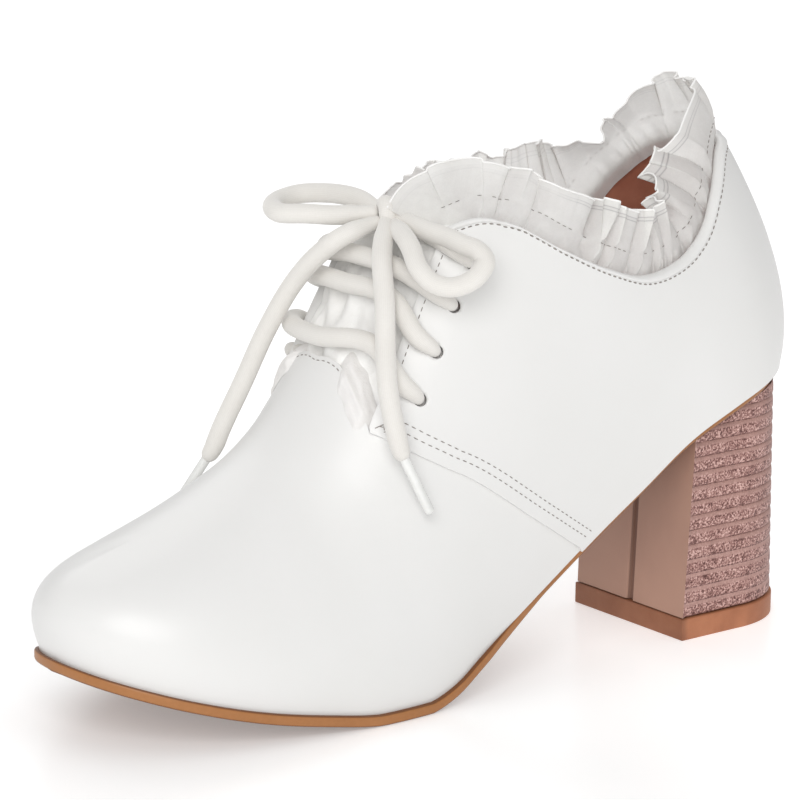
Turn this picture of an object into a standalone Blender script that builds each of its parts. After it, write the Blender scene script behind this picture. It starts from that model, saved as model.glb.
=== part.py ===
# White lace-up shoe with a block heel, for the left foot.
# The toe points to -X, the outer side of the foot is -Y, and the shoe stands on z = 0.
# All sizes are in millimetres, and the meshes are scaled to metres when they are made.
import math

import bmesh
import bpy
import numpy as np
from mathutils import Matrix, Vector

MM = 0.001
GAP = 0.3              # clearance where two pieces meet
ORIGIN = (116.73, -0.55, 0.0)   # middle of the shoe's box on the floor, as the tables measure from the toe tip

# Upper
WALL = 1.6             # leather and lining of the vamp
STEP = 1.1             # how far the quarters lie proud of the vamp
THROAT_BACK = 125.0    # the facings end in front of this distance from the toe
CORNER = 0.71          # height share of the seam at which the quarter's front corner lies
LEAN = 0.25            # how much of a section's forward lean shows at its foot
FLAT_EDGE = 0.1        # height share over which the wall's lower edge turns level
SEAT_GAP = 0.6         # clearance between the sole and the edge of the upper

EYELET = 3.6           # diameter of the punched holes
EYELET_PIN = 9.0       # length of the pins that cut them

# Sole and heel
SOLE = 3.0             # thickness of the sole
INSOLE = 1.8           # thickness of the insole
INSOLE_INSET = 2.1     # how far its edge lies inside the outline of the upper
HEEL_FRONT = 187.6     # breast of the heel, from the toe tip
HEEL_DEPTH = 46.0
HEEL_WIDTH = 46.0
HEEL_TAPER = 0.06      # how much each side draws in, for each millimetre towards the back
HEEL_STRAIGHT = 0.45   # share of the depth over which the sides run straight
HEEL_SPREAD = 0.015    # how much wider each side gets, for each millimetre upwards
HEEL_CORNER = 1.2      # length of the bevel between breast and sides
BREAST_LEAN = 0.04     # how much the breast and the back move, for each millimetre upwards
HEEL_BACK_LEAN = -0.04
LIFT = 6.0             # thickness of the top lift
LIFT_MARGIN = 0.5      # how far the lift stands out around the heel
RIB_PITCH = 4.1        # ribs of the heel, one above the other
RIB_DEPTH = 0.7
RIB_FORM = ((0.0, 0.0), (0.3, 0.8), (0.7, 0.8))   # shares of the pitch, and of the depth there
GROOVE_WIDTH = 2.4     # groove down the middle of the breast
GROOVE_DEPTH = 1.0

# Tongue, frills and lace
TONGUE = 1.2           # thickness of the tongue
TONGUE_ENDS = (7.7, 11.2)      # its sections at the lower and the upper end
TONGUE_HALVES = (25.0, 22.0)   # half its width there
TONGUE_BEND = (9.8, 10.8)      # between these sections it sinks deeper, to make room for its frill
TONGUE_DEPTHS = (0.5, 5.0)     # how far it lies under the wall before and after that
FRILL = 0.8            # thickness of the gathered strips
FRILL_PLEATS = 30      # folds of the frill round the collar
FRILL_UPRIGHT = 0.8    # how much the frill straightens up from the lean of the wall
FRILL_START = 0.30     # share of the quarter's top edge, from the corner, where the frill starts
TONGUE_PLEATS = 6      # folds of the strip on the tongue
FOLD_POINTS = 4        # points in one fold
LACE = 5.2             # diameter of the lace
BAR_GAP = 1.4          # clearance between its bars and the quarters
BAR_CLIMBS = (         # how each bar climbs to the next eyelet, on its way over the tongue
    (0.0, 0.10, 0.15, 0.35, 1.0), (0.0, 0.50, 0.60, 0.72, 1.0), (0.0, 0.45, 0.55, 0.70, 1.0))
KNOT = 12.0            # diameter of the knot
KNOT_GAP = 1.1         # clearance between the knot and the middle of what leaves it
KNOT_CENTRE = (99.8, -4.0, 124.5)   # from the toe tip, outwards (-) and up
TIP = 2.6              # diameter of the lace's clear tips
TIP_LENGTH = 17.0

# Sections of the upper from the toe tip to the back of the heel.
# x, outer and inner: where the upper meets the sole, from the toe tip, and its half width on each side.
# ridge_x and ridge_z: where the section meets the middle of the foot, closed above the collar as the last is.
# flare and rise: the handle of the curve at the sole, outwards and upwards.  crown: the handle at the ridge.
SECTIONS = (
    # x, outer, inner, ridge_x, ridge_z, flare, rise, crown
    (1.5, 0.0, 0.0, 24.0, 48.0, 7.8, 17.0, 20.0),
    (3.6, 11.5, 11.0, 25.0, 48.3, 7.8, 17.0, 20.0),
    (9.5, 20.5, 19.8, 28.0, 49.3, 7.6, 18.0, 21.0),
    (21.0, 28.6, 28.0, 34.0, 51.5, 7.2, 19.0, 22.0),
    (38.0, 34.2, 33.8, 43.5, 55.5, 6.8, 21.0, 24.0),
    (58.0, 36.9, 36.4, 53.0, 60.5, 6.5, 24.0, 26.0),
    (79.0, 37.6, 35.6, 61.5, 66.0, 6.5, 28.0, 28.0),
    (99.0, 35.5, 30.8, 69.5, 73.5, 7.0, 32.0, 33.0),
    (118.0, 32.0, 26.0, 76.5, 82.5, 9.0, 34.0, 36.0),
    (135.0, 29.4, 23.2, 84.0, 94.0, 10.0, 34.0, 39.0),
    (152.0, 28.0, 22.8, 92.5, 108.5, 10.0, 34.0, 41.0),
    (168.0, 27.6, 24.0, 104.0, 128.0, 9.0, 34.0, 41.0),
    (184.0, 27.4, 25.4, 122.0, 148.0, 8.0, 32.0, 38.0),
    (200.0, 26.8, 26.0, 146.0, 160.0, 7.0, 30.0, 30.0),
    (214.0, 23.4, 23.2, 170.0, 163.0, 7.0, 28.0, 24.0),
    (224.5, 16.6, 16.6, 188.0, 158.0, 7.5, 22.0, 19.0),
    (230.0, 8.6, 8.6, 195.0, 153.5, 9.5, 20.0, 17.0),
    (231.5, 0.0, 0.0, 197.0, 152.0, 9.5, 20.0, 17.0),
)

# Edge of the collar, seen from the side: distance from the toe and height.
COLLAR = ((95.0, 114.0), (107.5, 122.2), (115.0, 124.7), (123.3, 122.9), (135.8, 115.9), (150.8, 109.2),
          (164.0, 105.7), (173.3, 106.8), (182.2, 110.5), (188.3, 115.5), (195.6, 125.5), (202.6, 133.5),
          (209.0, 136.2), (218.0, 136.8))

# Edge of the facings along the throat: distance from the toe and half the open width there.
FACING = ((70.0, 23.5), (80.0, 22.5), (90.0, 21.0), (100.0, 19.5), (110.0, 18.5), (125.0, 18.0))

# Seam of the quarter over the vamp: share of the section's height, and the section counted from the toe.
SEAM = ((0.0, 9.66), (0.12, 9.24), (0.26, 8.74), (0.42, 8.20), (0.56, 7.72), (0.71, 7.40))

# Edge of the vamp across the throat, from the seam's corner to the ridge, in the same two columns.
THROAT = ((0.71, 7.40), (0.78, 7.68), (0.85, 8.06), (0.91, 8.38), (0.96, 8.53), (1.0, 8.58))

# Eyelets of one facing, top to bottom: section counted from the toe, and share of its height.
EYELETS = ((10.76, 0.713), (10.16, 0.703), (9.39, 0.682), (8.47, 0.647))

# Free stretches of the lace, as points from the toe tip, outwards (-) or inwards (+), and up.
# Each starts at the knot, and the loops end there too: knot_out and knot_in give the sides of the knot.
ROUTES = {
    "lace_loop_outer": {
        "knot_out": (0.45, -0.88, 0.10),
        "points": ((102.3, -18.0, 122.2), (104.1, -24.0, 121.3), (105.0, -30.0, 120.2), (106.2, -34.4, 119.2),
                   (106.4, -37.0, 117.0), (104.2, -37.5, 114.2), (100.8, -36.5, 111.8), (97.2, -34.0, 110.8),
                   (94.4, -30.8, 111.8), (92.9, -27.4, 114.6), (93.9, -22.2, 119.2)),
        "knot_in": (-0.05, -0.74, -0.67)},
    "lace_loop_inner": {
        "knot_out": (0.0, 0.98, 0.20),
        "points": ((99.2, 11.2, 127.1), (96.7, 19.4, 127.1), (91.8, 24.8, 126.5), (85.9, 25.0, 125.5),
                   (80.4, 20.5, 124.7), (78.7, 14.0, 124.3), (82.1, 8.4, 124.7), (88.4, 3.1, 124.5)),
        "knot_in": (-0.72, 0.62, 0.30)},
    "lace_end_outer": {
        "knot_out": (-0.66, -0.74, -0.08),
        "points": ((89.3, -16.0, 115.8), (86.2, -21.7, 106.2), (83.5, -26.0, 95.0), (81.8, -29.7, 84.9),
                   (82.2, -32.3, 75.8), (83.4, -34.1, 68.9))},
    "lace_end_inner": {
        "knot_out": (-0.83, 0.08, -0.55),
        "points": ((86.0, -2.2, 119.6), (83.2, 3.9, 114.3), (81.2, 11.2, 106.5), (77.2, 18.1, 93.0),
                   (72.2, 21.9, 78.6), (65.9, 22.7, 66.7), (63.4, 22.7, 61.8))},
}

# Where the clear tips point, from the ends of the lace.
TIPS = {"outer": (0.36, -0.24, -0.90), "inner": (-0.35, 0.40, -0.85)}

# Height of the tread along the shoe, under the sole: distance from the toe and height.
TREAD = ((0.0, 17.7), (10.0, 14.4), (20.0, 11.3), (40.0, 6.0), (60.0, 2.2), (75.0, 0.0), (92.0, 0.0),
         (101.0, 3.0), (110.0, 8.3), (118.0, 13.0), (135.0, 23.0), (152.0, 33.9), (168.0, 44.3),
         (184.0, 55.0), (200.0, 62.2), (214.0, 66.4), (232.0, 70.2))

# How far the edge of the sole stands out from the upper: distance from the toe and margin.
SOLE_MARGIN = ((0.0, 1.3), (112.0, 1.3), (135.0, -1.0), (190.0, -1.0), (232.0, -0.5))

# Rows of the gathered strips: height above the edge, middle of the folds inwards, and depth of the folds.
FRILL_ROWS = ((-2.5, 3.9, 0.4), (1.2, 3.6, 0.9), (7.5, 3.0, 2.0), (14.5, 2.0, 2.8))
TONGUE_FRILL_ROWS = ((0.5, 0.0, 0.3), (5.0, 0.0, 1.2), (11.0, -0.5, 2.0))


def spline(knots, values, at):
    """A smooth curve through the values, read at one place or at many."""
    knots = np.asarray(knots, float)
    values = np.asarray(values, float)
    at = np.asarray(at, float)
    slopes = np.gradient(values, knots)
    i = np.clip(np.searchsorted(knots, at, side="right") - 1, 0, len(knots) - 2)
    width = knots[i + 1] - knots[i]
    t = (at - knots[i]) / width
    start = (1 + 2 * t) * (1 - t) ** 2 * values[i] + t * (1 - t) ** 2 * width * slopes[i]
    end = t * t * (3 - 2 * t) * values[i + 1] - t * t * (1 - t) * width * slopes[i + 1]
    return start + end


def table(rows, at):
    """A two-column table read as a smooth curve."""
    columns = np.array(rows).T
    return spline(columns[0], columns[1], at)


def tread(x):
    """Height of the sole's underside at a distance from the toe, flat where it meets the floor."""
    return np.maximum(table(TREAD, x), 0.0)


LAST_SECTION = len(SECTIONS) - 1


def section_loop():
    """The sections in a ring: toe, outer side, back of the heel, inner side."""
    rows = np.array(SECTIONS)
    outer = np.column_stack([rows[:, 0], -rows[:, 1], rows[:, 3:]])
    inner = np.column_stack([rows[:, 0], rows[:, 2], rows[:, 3:]])
    return np.vstack([outer, inner[-2:0:-1]])


RING = section_loop()


def station(s):
    """The section values at place s of the ring, between the rows of the table."""
    s = np.asarray(s, float)
    base = np.floor(s).astype(int)
    t = (s - base)[..., None]
    before, first, second, after = (RING[(base + k) % len(RING)] for k in (-1, 0, 1, 2))
    out, back = (second - before) / 2, (after - first) / 2
    blend = (1 + 2 * t) * (1 - t) ** 2 * first + t * (1 - t) ** 2 * out
    return blend + t * t * (3 - 2 * t) * second - t * t * (1 - t) * back


def ridge_slope(s):
    """How steeply the ridge rises, for each millimetre towards the heel."""
    folded = np.abs((np.asarray(s, float) + LAST_SECTION) % (2 * LAST_SECTION) - LAST_SECTION)
    low, high = station(np.maximum(folded - 0.4, 0)), station(np.minimum(folded + 0.4, LAST_SECTION))
    return (high[..., 3] - low[..., 3]) / (high[..., 2] - low[..., 2])


def last_point(s, v):
    """A point of the last at place s of the ring and height share v, from feather 0 to ridge 1."""
    s, v = np.broadcast_arrays(np.asarray(s, float), np.asarray(v, float))
    x, y, ridge_x, ridge_z, flare, rise, crown = np.moveaxis(station(s), -1, 0)
    along = station(s + 0.02) - station(s - 0.02)
    size = np.hypot(along[..., 0], along[..., 1])
    out_x, out_y = along[..., 1] / size, -along[..., 0] / size
    feather = np.stack([x, y, tread(x) + SOLE + SEAT_GAP], -1)
    ridge = np.stack([ridge_x, np.zeros_like(x), ridge_z], -1)
    foot = feather + np.stack([out_x * flare + LEAN * (ridge_x - x) * out_y ** 2, out_y * flare, rise], -1)
    head = ridge + crown[..., None] * np.stack([out_x, out_y, out_x * ridge_slope(s)], -1)
    t = v[..., None]
    return ((1 - t) ** 3 * feather + 3 * t * (1 - t) ** 2 * foot
            + 3 * t * t * (1 - t) * head + t ** 3 * ridge)


def last_normal(s, v):
    """The outward direction of the last."""
    s, v = np.broadcast_arrays(np.asarray(s, float), np.asarray(v, float))
    low = np.minimum(v, 0.98)
    round_way = last_point(s + 0.05, low) - last_point(s - 0.05, low)
    up_way = last_point(s, low + 0.002) - last_point(s, low - 0.002)
    slope = ridge_slope(s)
    on_ridge = np.stack([-slope, np.zeros_like(slope), np.ones_like(slope)], -1)
    normal = np.where((v > 0.999)[..., None], on_ridge, np.cross(round_way, up_way))
    return normal / np.linalg.norm(normal, axis=-1, keepdims=True)


def skin(s, v, offset=0.0):
    """A point of the last moved outwards by the offset, level with the sole at the feather."""
    way = last_normal(s, v)
    way[..., 2] *= np.clip(v / FLAT_EDGE, 0, 1)
    return last_point(s, v) + offset * way


def seam_place(v):
    """Where the vamp ends at height share v, at the seam or the throat, counted in sections from the toe."""
    return np.where(v < CORNER, table(SEAM, np.minimum(v, CORNER)), table(THROAT, np.maximum(v, CORNER)))


def quarter_place(share, v):
    """The place on the ring of a quarter's column, from the seam 0 to the back of the heel 1."""
    seam = seam_place(v)
    return seam + share * (LAST_SECTION - seam)


def top_edge(share):
    """The height share at which a quarter's column meets the facing edge or the collar."""
    v = np.linspace(0.1, 0.995, 400)
    point = last_point(quarter_place(share, v), v)
    below = table(COLLAR, np.clip(point[:, 0], COLLAR[0][0], COLLAR[-1][0])) - point[:, 2]
    beside = np.abs(point[:, 1]) - table(FACING, np.clip(point[:, 0], FACING[0][0], FACING[-1][0]))
    inside = np.where(point[:, 0] < THROAT_BACK, np.minimum(beside, below), below)
    first = int(np.argmax(inside < 0))
    return np.interp(0.0, [-inside[first - 1], -inside[first]], [v[first - 1], v[first]])


def mirrored(s, side):
    """The same place on the outer side (-1) or the inner side (+1) of the ring."""
    return s if side < 0 else 2 * LAST_SECTION - s


# Meshes and materials

def material(name, colour, roughness):
    made = bpy.data.materials.new(name)
    made.use_nodes = True
    shader = made.node_tree.nodes["Principled BSDF"]
    shader.inputs["Base Color"].default_value = (*colour, 1.0)
    shader.inputs["Roughness"].default_value = roughness
    return made


def add_object(name, points, faces, look):
    """One named object from points in millimetres, with its faces turned outwards."""
    points = np.asarray(points, float) - ORIGIN
    mesh = bpy.data.meshes.new(name)
    mesh.from_pydata((points * MM).tolist(), [], faces)
    form = bmesh.new()
    form.from_mesh(mesh)
    bmesh.ops.remove_doubles(form, verts=form.verts, dist=1e-6)
    bmesh.ops.recalc_face_normals(form, faces=form.faces)
    form.to_mesh(mesh)
    form.free()
    mesh.shade_smooth()
    mesh.set_sharp_from_angle(angle=math.radians(40))
    mesh.materials.append(look)
    made = bpy.data.objects.new(name, mesh)
    SHOE.objects.link(made)
    return made


class Cloud:
    """Points and faces that are gathered piece by piece."""

    def __init__(self):
        self.points = []
        self.faces = []

    def grid(self, points):
        """Adds a grid of points, and returns their numbers in the same layout."""
        points = np.asarray(points, float)
        start = len(self.points)
        self.points.extend(points.reshape(-1, 3).tolist())
        return np.arange(start, start + points.shape[0] * points.shape[1]).reshape(points.shape[:2])

    def skin(self, ids):
        """Faces over a grid of point numbers."""
        for i in range(ids.shape[0] - 1):
            for k in range(ids.shape[1] - 1):
                self.face(ids[i, k], ids[i, k + 1], ids[i + 1, k + 1], ids[i + 1, k])

    def strip(self, first, second):
        """Faces between two rows of point numbers."""
        for k in range(len(first) - 1):
            self.face(first[k], first[k + 1], second[k + 1], second[k])

    def face(self, *corners):
        kept = [int(c) for i, c in enumerate(corners) if c not in corners[:i]]
        if len(kept) > 2:
            self.faces.append(kept)


def closed_sheet(name, outer, inner, look):
    """A thin solid between two grids of points, closed around its four edges."""
    cloud = Cloud()
    front, back = cloud.grid(outer), cloud.grid(inner)
    cloud.skin(front)
    cloud.skin(back)
    for edge in ((0, slice(None)), (-1, slice(None)), (slice(None), 0), (slice(None), -1)):
        cloud.strip(front[edge], back[edge])
    return add_object(name, cloud.points, cloud.faces, look)


# Upper

VAMP_COLUMNS = 15      # from the middle of the toe to the seam
QUARTER_COLUMNS = 26   # from the seam to the back of the heel
LOW_ROWS = 10          # from the feather to the quarter's corner
HIGH_ROWS = 5          # from the corner to the ridge


def quarter_tops(columns):
    """The height shares of a quarter's top edge at its columns."""
    return np.array([top_edge(column) if column > 0 else CORNER for column in columns])


def quarter_columns(along):
    """Columns of a quarter and their tops, given by their shares of the length of its top edge."""
    fine = np.linspace(0, 1, 160)
    top = quarter_tops(fine)
    edge = last_point(quarter_place(fine, top), top)
    length = np.concatenate([[0], np.cumsum(np.linalg.norm(np.diff(edge, axis=0), axis=1))])
    columns = np.interp(along * length[-1], length, fine)
    return columns, quarter_tops(columns)


def vamp_points(side, offset):
    low, high = np.linspace(0, CORNER, LOW_ROWS + 1), np.linspace(CORNER, 1, HIGH_ROWS + 1)
    heights = np.concatenate([low, high[1:]])
    share = np.linspace(0, 1, VAMP_COLUMNS + 1)
    v, share = np.meshgrid(heights, share, indexing="ij")
    return skin(mirrored(share * seam_place(v), side), v, offset)


def quarter_points(side, offset):
    share, top = quarter_columns(np.linspace(0, 1, QUARTER_COLUMNS + 1))
    v = np.linspace(0, 1, LOW_ROWS + 1)[:, None] * top[None, :]
    return skin(mirrored(quarter_place(share[None, :], v), side), v, offset)


def upper():
    """Vamp and quarters in one hollow wall, open underneath, at the throat and at the collar."""
    cloud = Cloud()
    for side in (-1, 1):
        vamp_out, vamp_in = cloud.grid(vamp_points(side, 0.0)), cloud.grid(vamp_points(side, -WALL))
        quarter_out = cloud.grid(quarter_points(side, STEP))
        quarter_in = cloud.grid(quarter_points(side, -WALL))
        for vamp in (vamp_out, vamp_in):
            vamp[-1, 0] = vamp[-1, 1]
            cloud.skin(vamp)
        for quarter in (quarter_out, quarter_in):
            cloud.skin(quarter)
        cloud.strip(vamp_out[0], vamp_in[0])
        cloud.strip(quarter_out[0], quarter_in[0])
        cloud.strip(quarter_out[-1], quarter_in[-1])
        cloud.strip(vamp_out[LOW_ROWS:, -1], vamp_in[LOW_ROWS:, -1])
        cloud.strip(vamp_out[:LOW_ROWS + 1, -1], quarter_out[:, 0])
        for row in (0, LOW_ROWS):
            cloud.face(vamp_out[row, -1], quarter_out[row, 0], vamp_in[row, -1])
    shell = add_object("upper", cloud.points, cloud.faces, LEATHER)
    holes = shell.modifiers.new("eyelets", "BOOLEAN")
    holes.operation = "DIFFERENCE"
    holes.object = eyelet_cutter()
    return shell


def eyelet_cutter():
    """Eight pins, one through each eyelet along the wall's normal."""
    form = bmesh.new()
    for side in (-1, 1):
        for section, height in EYELETS:
            place = mirrored(np.array(section), side)
            centre = skin(place, np.array(height)) - ORIGIN
            turn = Vector(last_normal(place, np.array(height))).to_track_quat("Z", "Y").to_matrix().to_4x4()
            pose = Matrix.Translation(Vector(centre * MM)) @ turn
            bmesh.ops.create_cone(form, cap_ends=True, segments=12, radius1=EYELET * MM / 2,
                                  radius2=EYELET * MM / 2, depth=EYELET_PIN * MM, matrix=pose)
    mesh = bpy.data.meshes.new("eyelet_pins")
    form.to_mesh(mesh)
    form.free()
    pins = bpy.data.objects.new("eyelet_pins", mesh)
    pins.hide_render = True
    pins.display_type = "WIRE"
    CUTTERS.objects.link(pins)
    return pins


# Sole, insole and heel

def slab(name, margins, low, high, look, rows=54):
    """A board under the foot: the outline of the upper moved out by the margins, between two heights
    above the tread."""
    turn = np.linspace(0, LAST_SECTION, rows)
    cloud = Cloud()
    edges = {}
    for side in (-1, 1):
        place = mirrored(turn, side)
        feather = station(place)[:, :2]
        along = station(place + 0.02) - station(place - 0.02)
        out = np.column_stack([along[:, 1], -along[:, 0]])
        out /= np.linalg.norm(out, axis=1, keepdims=True)
        ground = feather + out * np.interp(feather[:, 0], *np.array(margins).T)[:, None]
        for level in (low, high):
            edges[side, level] = np.column_stack([ground, tread(ground[:, 0]) + level])
    for level in (low, high):
        cloud.skin(cloud.grid(np.stack([edges[-1, level], edges[1, level]], 1)))
    for side in (-1, 1):
        cloud.skin(cloud.grid(np.stack([edges[side, low], edges[side, high]], 1)))
    return add_object(name, cloud.points, cloud.faces, look)


def outsole():
    return slab("outsole", SOLE_MARGIN, 0.0, SOLE, SOLE_LOOK)


def insole():
    inset = ((0.0, -INSOLE_INSET), (TREAD[-1][0], -INSOLE_INSET))
    seat = SOLE + SEAT_GAP
    return slab("insole", inset, seat, seat + INSOLE, INSOLE_LOOK)


def heel_outline(z, grow=0.0, rib=0.0, groove=0.0):
    """The heel's plan at height z: round the sides and back, then along the breast and its groove."""
    front = HEEL_FRONT + BREAST_LEAN * z - grow
    depth = HEEL_DEPTH + HEEL_BACK_LEAN * z - BREAST_LEAN * z + 2 * grow
    half = HEEL_WIDTH / 2 + HEEL_SPREAD * z + grow
    straight = depth * HEEL_STRAIGHT
    narrow = half - HEEL_TAPER * straight
    turn = np.linspace(-math.pi / 2, math.pi / 2, 17)
    back = np.column_stack([front + straight + (depth - straight - rib) * np.cos(turn),
                            (narrow - rib) * np.sin(turn)])
    side = np.array([(front + HEEL_CORNER, -half + rib), (front + straight / 2, -(half + narrow) / 2 + rib)])
    breast = np.array([(0, GROOVE_WIDTH / 2), (groove, GROOVE_WIDTH / 2),
                       (groove, -GROOVE_WIDTH / 2), (0, -GROOVE_WIDTH / 2)]) + (front, 0)
    corners = np.array([(front, -half)]), np.array([(front, half)])
    return np.vstack([corners[0], side, back, side[::-1] * (1, -1), corners[1], breast])


def prism(name, outlines, heights, look):
    """A solid through outlines with equal numbers of points, one above the other."""
    cloud = Cloud()
    loops = [np.column_stack([outline, np.full(len(outline), z)]) for outline, z in zip(outlines, heights)]
    ids = cloud.grid(np.array(loops))
    cloud.skin(np.column_stack([ids, ids[:, :1]]))
    cloud.face(*ids[0])
    cloud.face(*ids[-1])
    return add_object(name, cloud.points, cloud.faces, look)


def heel_top_lift():
    outline = heel_outline(LIFT, LIFT_MARGIN)
    return prism("heel_top_lift", (outline, outline), (0.0, LIFT), LIFT_LOOK)


def heel_block():
    """The ribbed heel, cut off on top along the seat under the sole."""
    low = LIFT + GAP
    outlines, heights = [], []
    for rib in range(math.ceil((TREAD[-1][1] - low) / RIB_PITCH) + 1):
        for share, depth in RIB_FORM:
            z = low + (rib + share) * RIB_PITCH
            outlines.append(heel_outline(z, 0.0, depth * RIB_DEPTH, GROOVE_DEPTH))
            heights.append(z)
    block = prism("heel_block", outlines, heights, HEEL_LOOK)
    x = np.linspace(HEEL_FRONT, HEEL_FRONT + HEEL_DEPTH, 40)
    slope = (tread(x[-1]) - tread(x[0])) / (x[-1] - x[0])
    seat = np.min(tread(x) - slope * x) - GAP
    form = bmesh.new()
    form.from_mesh(block.data)
    every = form.verts[:] + form.edges[:] + form.faces[:]
    bmesh.ops.bisect_plane(form, geom=every, plane_co=(-ORIGIN[0] * MM, 0, seat * MM),
                           plane_no=(-slope, 0, 1), clear_outer=True)
    bmesh.ops.holes_fill(form, edges=[edge for edge in form.edges if edge.is_boundary])
    bmesh.ops.recalc_face_normals(form, faces=form.faces)
    form.to_mesh(block.data)
    form.free()
    return block


# Tongue and frills

def height_at_width(section, half):
    """The height share at which a section is this half width, near the ridge."""
    v = np.linspace(0.45, 1.0, 300)
    return np.interp(half, np.abs(last_point(section, v)[:, 1])[::-1], v[::-1])


def tongue_depth(section):
    """How far the tongue lies under the outside of the upper."""
    return WALL + np.interp(section, TONGUE_BEND, TONGUE_DEPTHS)


def tongue_grid(offset):
    """Points of the tongue, from the outer edge over the ridge to the inner edge."""
    rows = []
    for section in np.linspace(*TONGUE_ENDS, 15):
        half = np.interp(section, TONGUE_ENDS, TONGUE_HALVES)
        v = np.linspace(height_at_width(section, half), 1, 8)
        depth = -tongue_depth(section) - offset
        outer = skin(np.full(8, section), v, depth)
        inner = skin(np.full(8, mirrored(section, 1)), v, depth)
        rows.append(np.vstack([outer, inner[-2::-1]]))
    return np.array(rows)


def tongue():
    return closed_sheet("tongue", tongue_grid(0.0), tongue_grid(TONGUE), SHEER)


def pleated_sheet(name, base, up, out, pleats, rows, look):
    """A gathered strip along a base line: its folds deepen row by row."""
    fold = np.sin(np.linspace(0, 2 * math.pi * pleats, len(base)))[:, None]
    front, back = [], []
    for height, inwards, depth in rows:
        centre = base + up * height + out * (depth * fold - inwards)
        front.append(centre + out * FRILL / 2)
        back.append(centre - out * FRILL / 2)
    return closed_sheet(name, np.array(front), np.array(back), look)


def collar_frill():
    """The strip that stands inside the collar, from one facing round the back to the other."""
    points = FRILL_PLEATS * FOLD_POINTS // 2 + 1
    columns, top = quarter_columns(np.linspace(FRILL_START, 1, points))
    sides = []
    for side in (-1, 1):
        place = mirrored(quarter_place(columns, top), side)
        rim, out = skin(place, top), last_normal(place, top)
        wall = rim - skin(place, top - 0.03)
        rise = wall / np.linalg.norm(wall, axis=1, keepdims=True) + (0.0, 0.0, FRILL_UPRIGHT)
        out[:, 2] = 0
        sides.append((rim, rise, out))
    base, up, out = (np.vstack([outer, inner[-2::-1]]) for outer, inner in zip(*sides))
    up /= np.linalg.norm(up, axis=1, keepdims=True)
    out /= np.linalg.norm(out, axis=1, keepdims=True)
    return pleated_sheet("collar_frill", base, up, out, FRILL_PLEATS, FRILL_ROWS, SHEER)


def resampled(values, count):
    """Rows of values read at evenly spaced places between the rows."""
    place = np.linspace(0, len(values) - 1, count)
    return np.column_stack([np.interp(place, np.arange(len(values)), column) for column in values.T])


def tongue_frill():
    """The short strip along the top edge of the tongue."""
    middle = (tongue_grid(0.0) + tongue_grid(TONGUE)) / 2
    top = middle[-1]
    up = top - middle[-2]
    up /= np.linalg.norm(up, axis=1, keepdims=True)
    out = np.cross(up, np.gradient(top, axis=0))
    out /= np.linalg.norm(out, axis=1, keepdims=True)
    base, up, out = (resampled(values, TONGUE_PLEATS * FOLD_POINTS + 1) for values in (top, up, out))
    return pleated_sheet("tongue_frill", base, up, out, TONGUE_PLEATS, TONGUE_FRILL_ROWS, SHEER)


# Lace

def cord(name, points, diameter, look, step=2.0):
    """A round tube along a smooth curve through the points."""
    points = np.asarray(points, float) - ORIGIN
    chord = np.concatenate([[0], np.cumsum(np.linalg.norm(np.diff(points, axis=0), axis=1))])
    at = np.linspace(0, chord[-1], max(4, round(chord[-1] / (step * diameter)) + 1))
    route = np.column_stack([spline(chord, axis, at) for axis in points.T])
    curve = bpy.data.curves.new(name, "CURVE")
    curve.dimensions = "3D"
    curve.bevel_depth = diameter / 2 * MM
    curve.bevel_resolution = 2
    curve.use_fill_caps = True
    line = curve.splines.new("POLY")
    line.points.add(len(route) - 1)
    for point, place in zip(line.points, route):
        point.co = (*(place * MM), 1.0)
    curve.materials.append(look)
    made = bpy.data.objects.new(name, curve)
    SHOE.objects.link(made)
    return made


def lace_bars():
    """Bars that climb from each outer eyelet over the tongue to the next inner eyelet."""
    for number, (start, end, climb) in enumerate(zip(EYELETS[1:], EYELETS, BAR_CLIMBS), start=1):
        v = np.interp((0, 1, 2, 3, 4), (0, 2, 4), (start[1], 1, end[1]))
        section = start[0] + (end[0] - start[0]) * np.array(climb)
        lift = np.interp(v, (start[1], 1), (STEP + LACE / 2 + BAR_GAP, LACE / 2 + GAP))
        place = np.where(np.arange(5) > 2, mirrored(section, 1), section)
        cord(f"lace_bar_{number}", skin(place, v, lift[:, None]), LACE, LACE_LOOK)


def knot_side(way):
    """Two points straight out of the knot, on the side that the direction names."""
    way = np.array(way) / np.linalg.norm(way)
    return [np.array(KNOT_CENTRE) + way * (KNOT / 2 + away) for away in (KNOT_GAP, LACE)]


def lace_bow():
    """The knot, its two loops, and the two ends with their tips."""
    form = bmesh.new()
    centre = (np.array(KNOT_CENTRE) - ORIGIN) * MM
    bmesh.ops.create_uvsphere(form, u_segments=14, v_segments=9, radius=KNOT / 2 * MM,
                              matrix=Matrix.Translation(Vector(centre)))
    mesh = bpy.data.meshes.new("lace_knot")
    form.to_mesh(mesh)
    form.free()
    mesh.shade_smooth()
    mesh.materials.append(LACE_LOOK)
    SHOE.objects.link(bpy.data.objects.new("lace_knot", mesh))
    for name, route in ROUTES.items():
        points = [*knot_side(route["knot_out"]), *route["points"]]
        if "knot_in" in route:
            points += knot_side(route["knot_in"])[::-1]
        cord(name, points, LACE, LACE_LOOK)
    for side, way in TIPS.items():
        way = np.array(way) / np.linalg.norm(way)
        start = np.array(ROUTES[f"lace_end_{side}"]["points"][-1]) + way * 2 * GAP
        middle, end = start + way * TIP_LENGTH / 2, start + way * TIP_LENGTH
        cord(f"lace_tip_{side}", [start, middle, end], TIP, TIP_LOOK)


def clear_scene():
    for old in list(bpy.data.objects):
        bpy.data.objects.remove(old, do_unlink=True)


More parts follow.
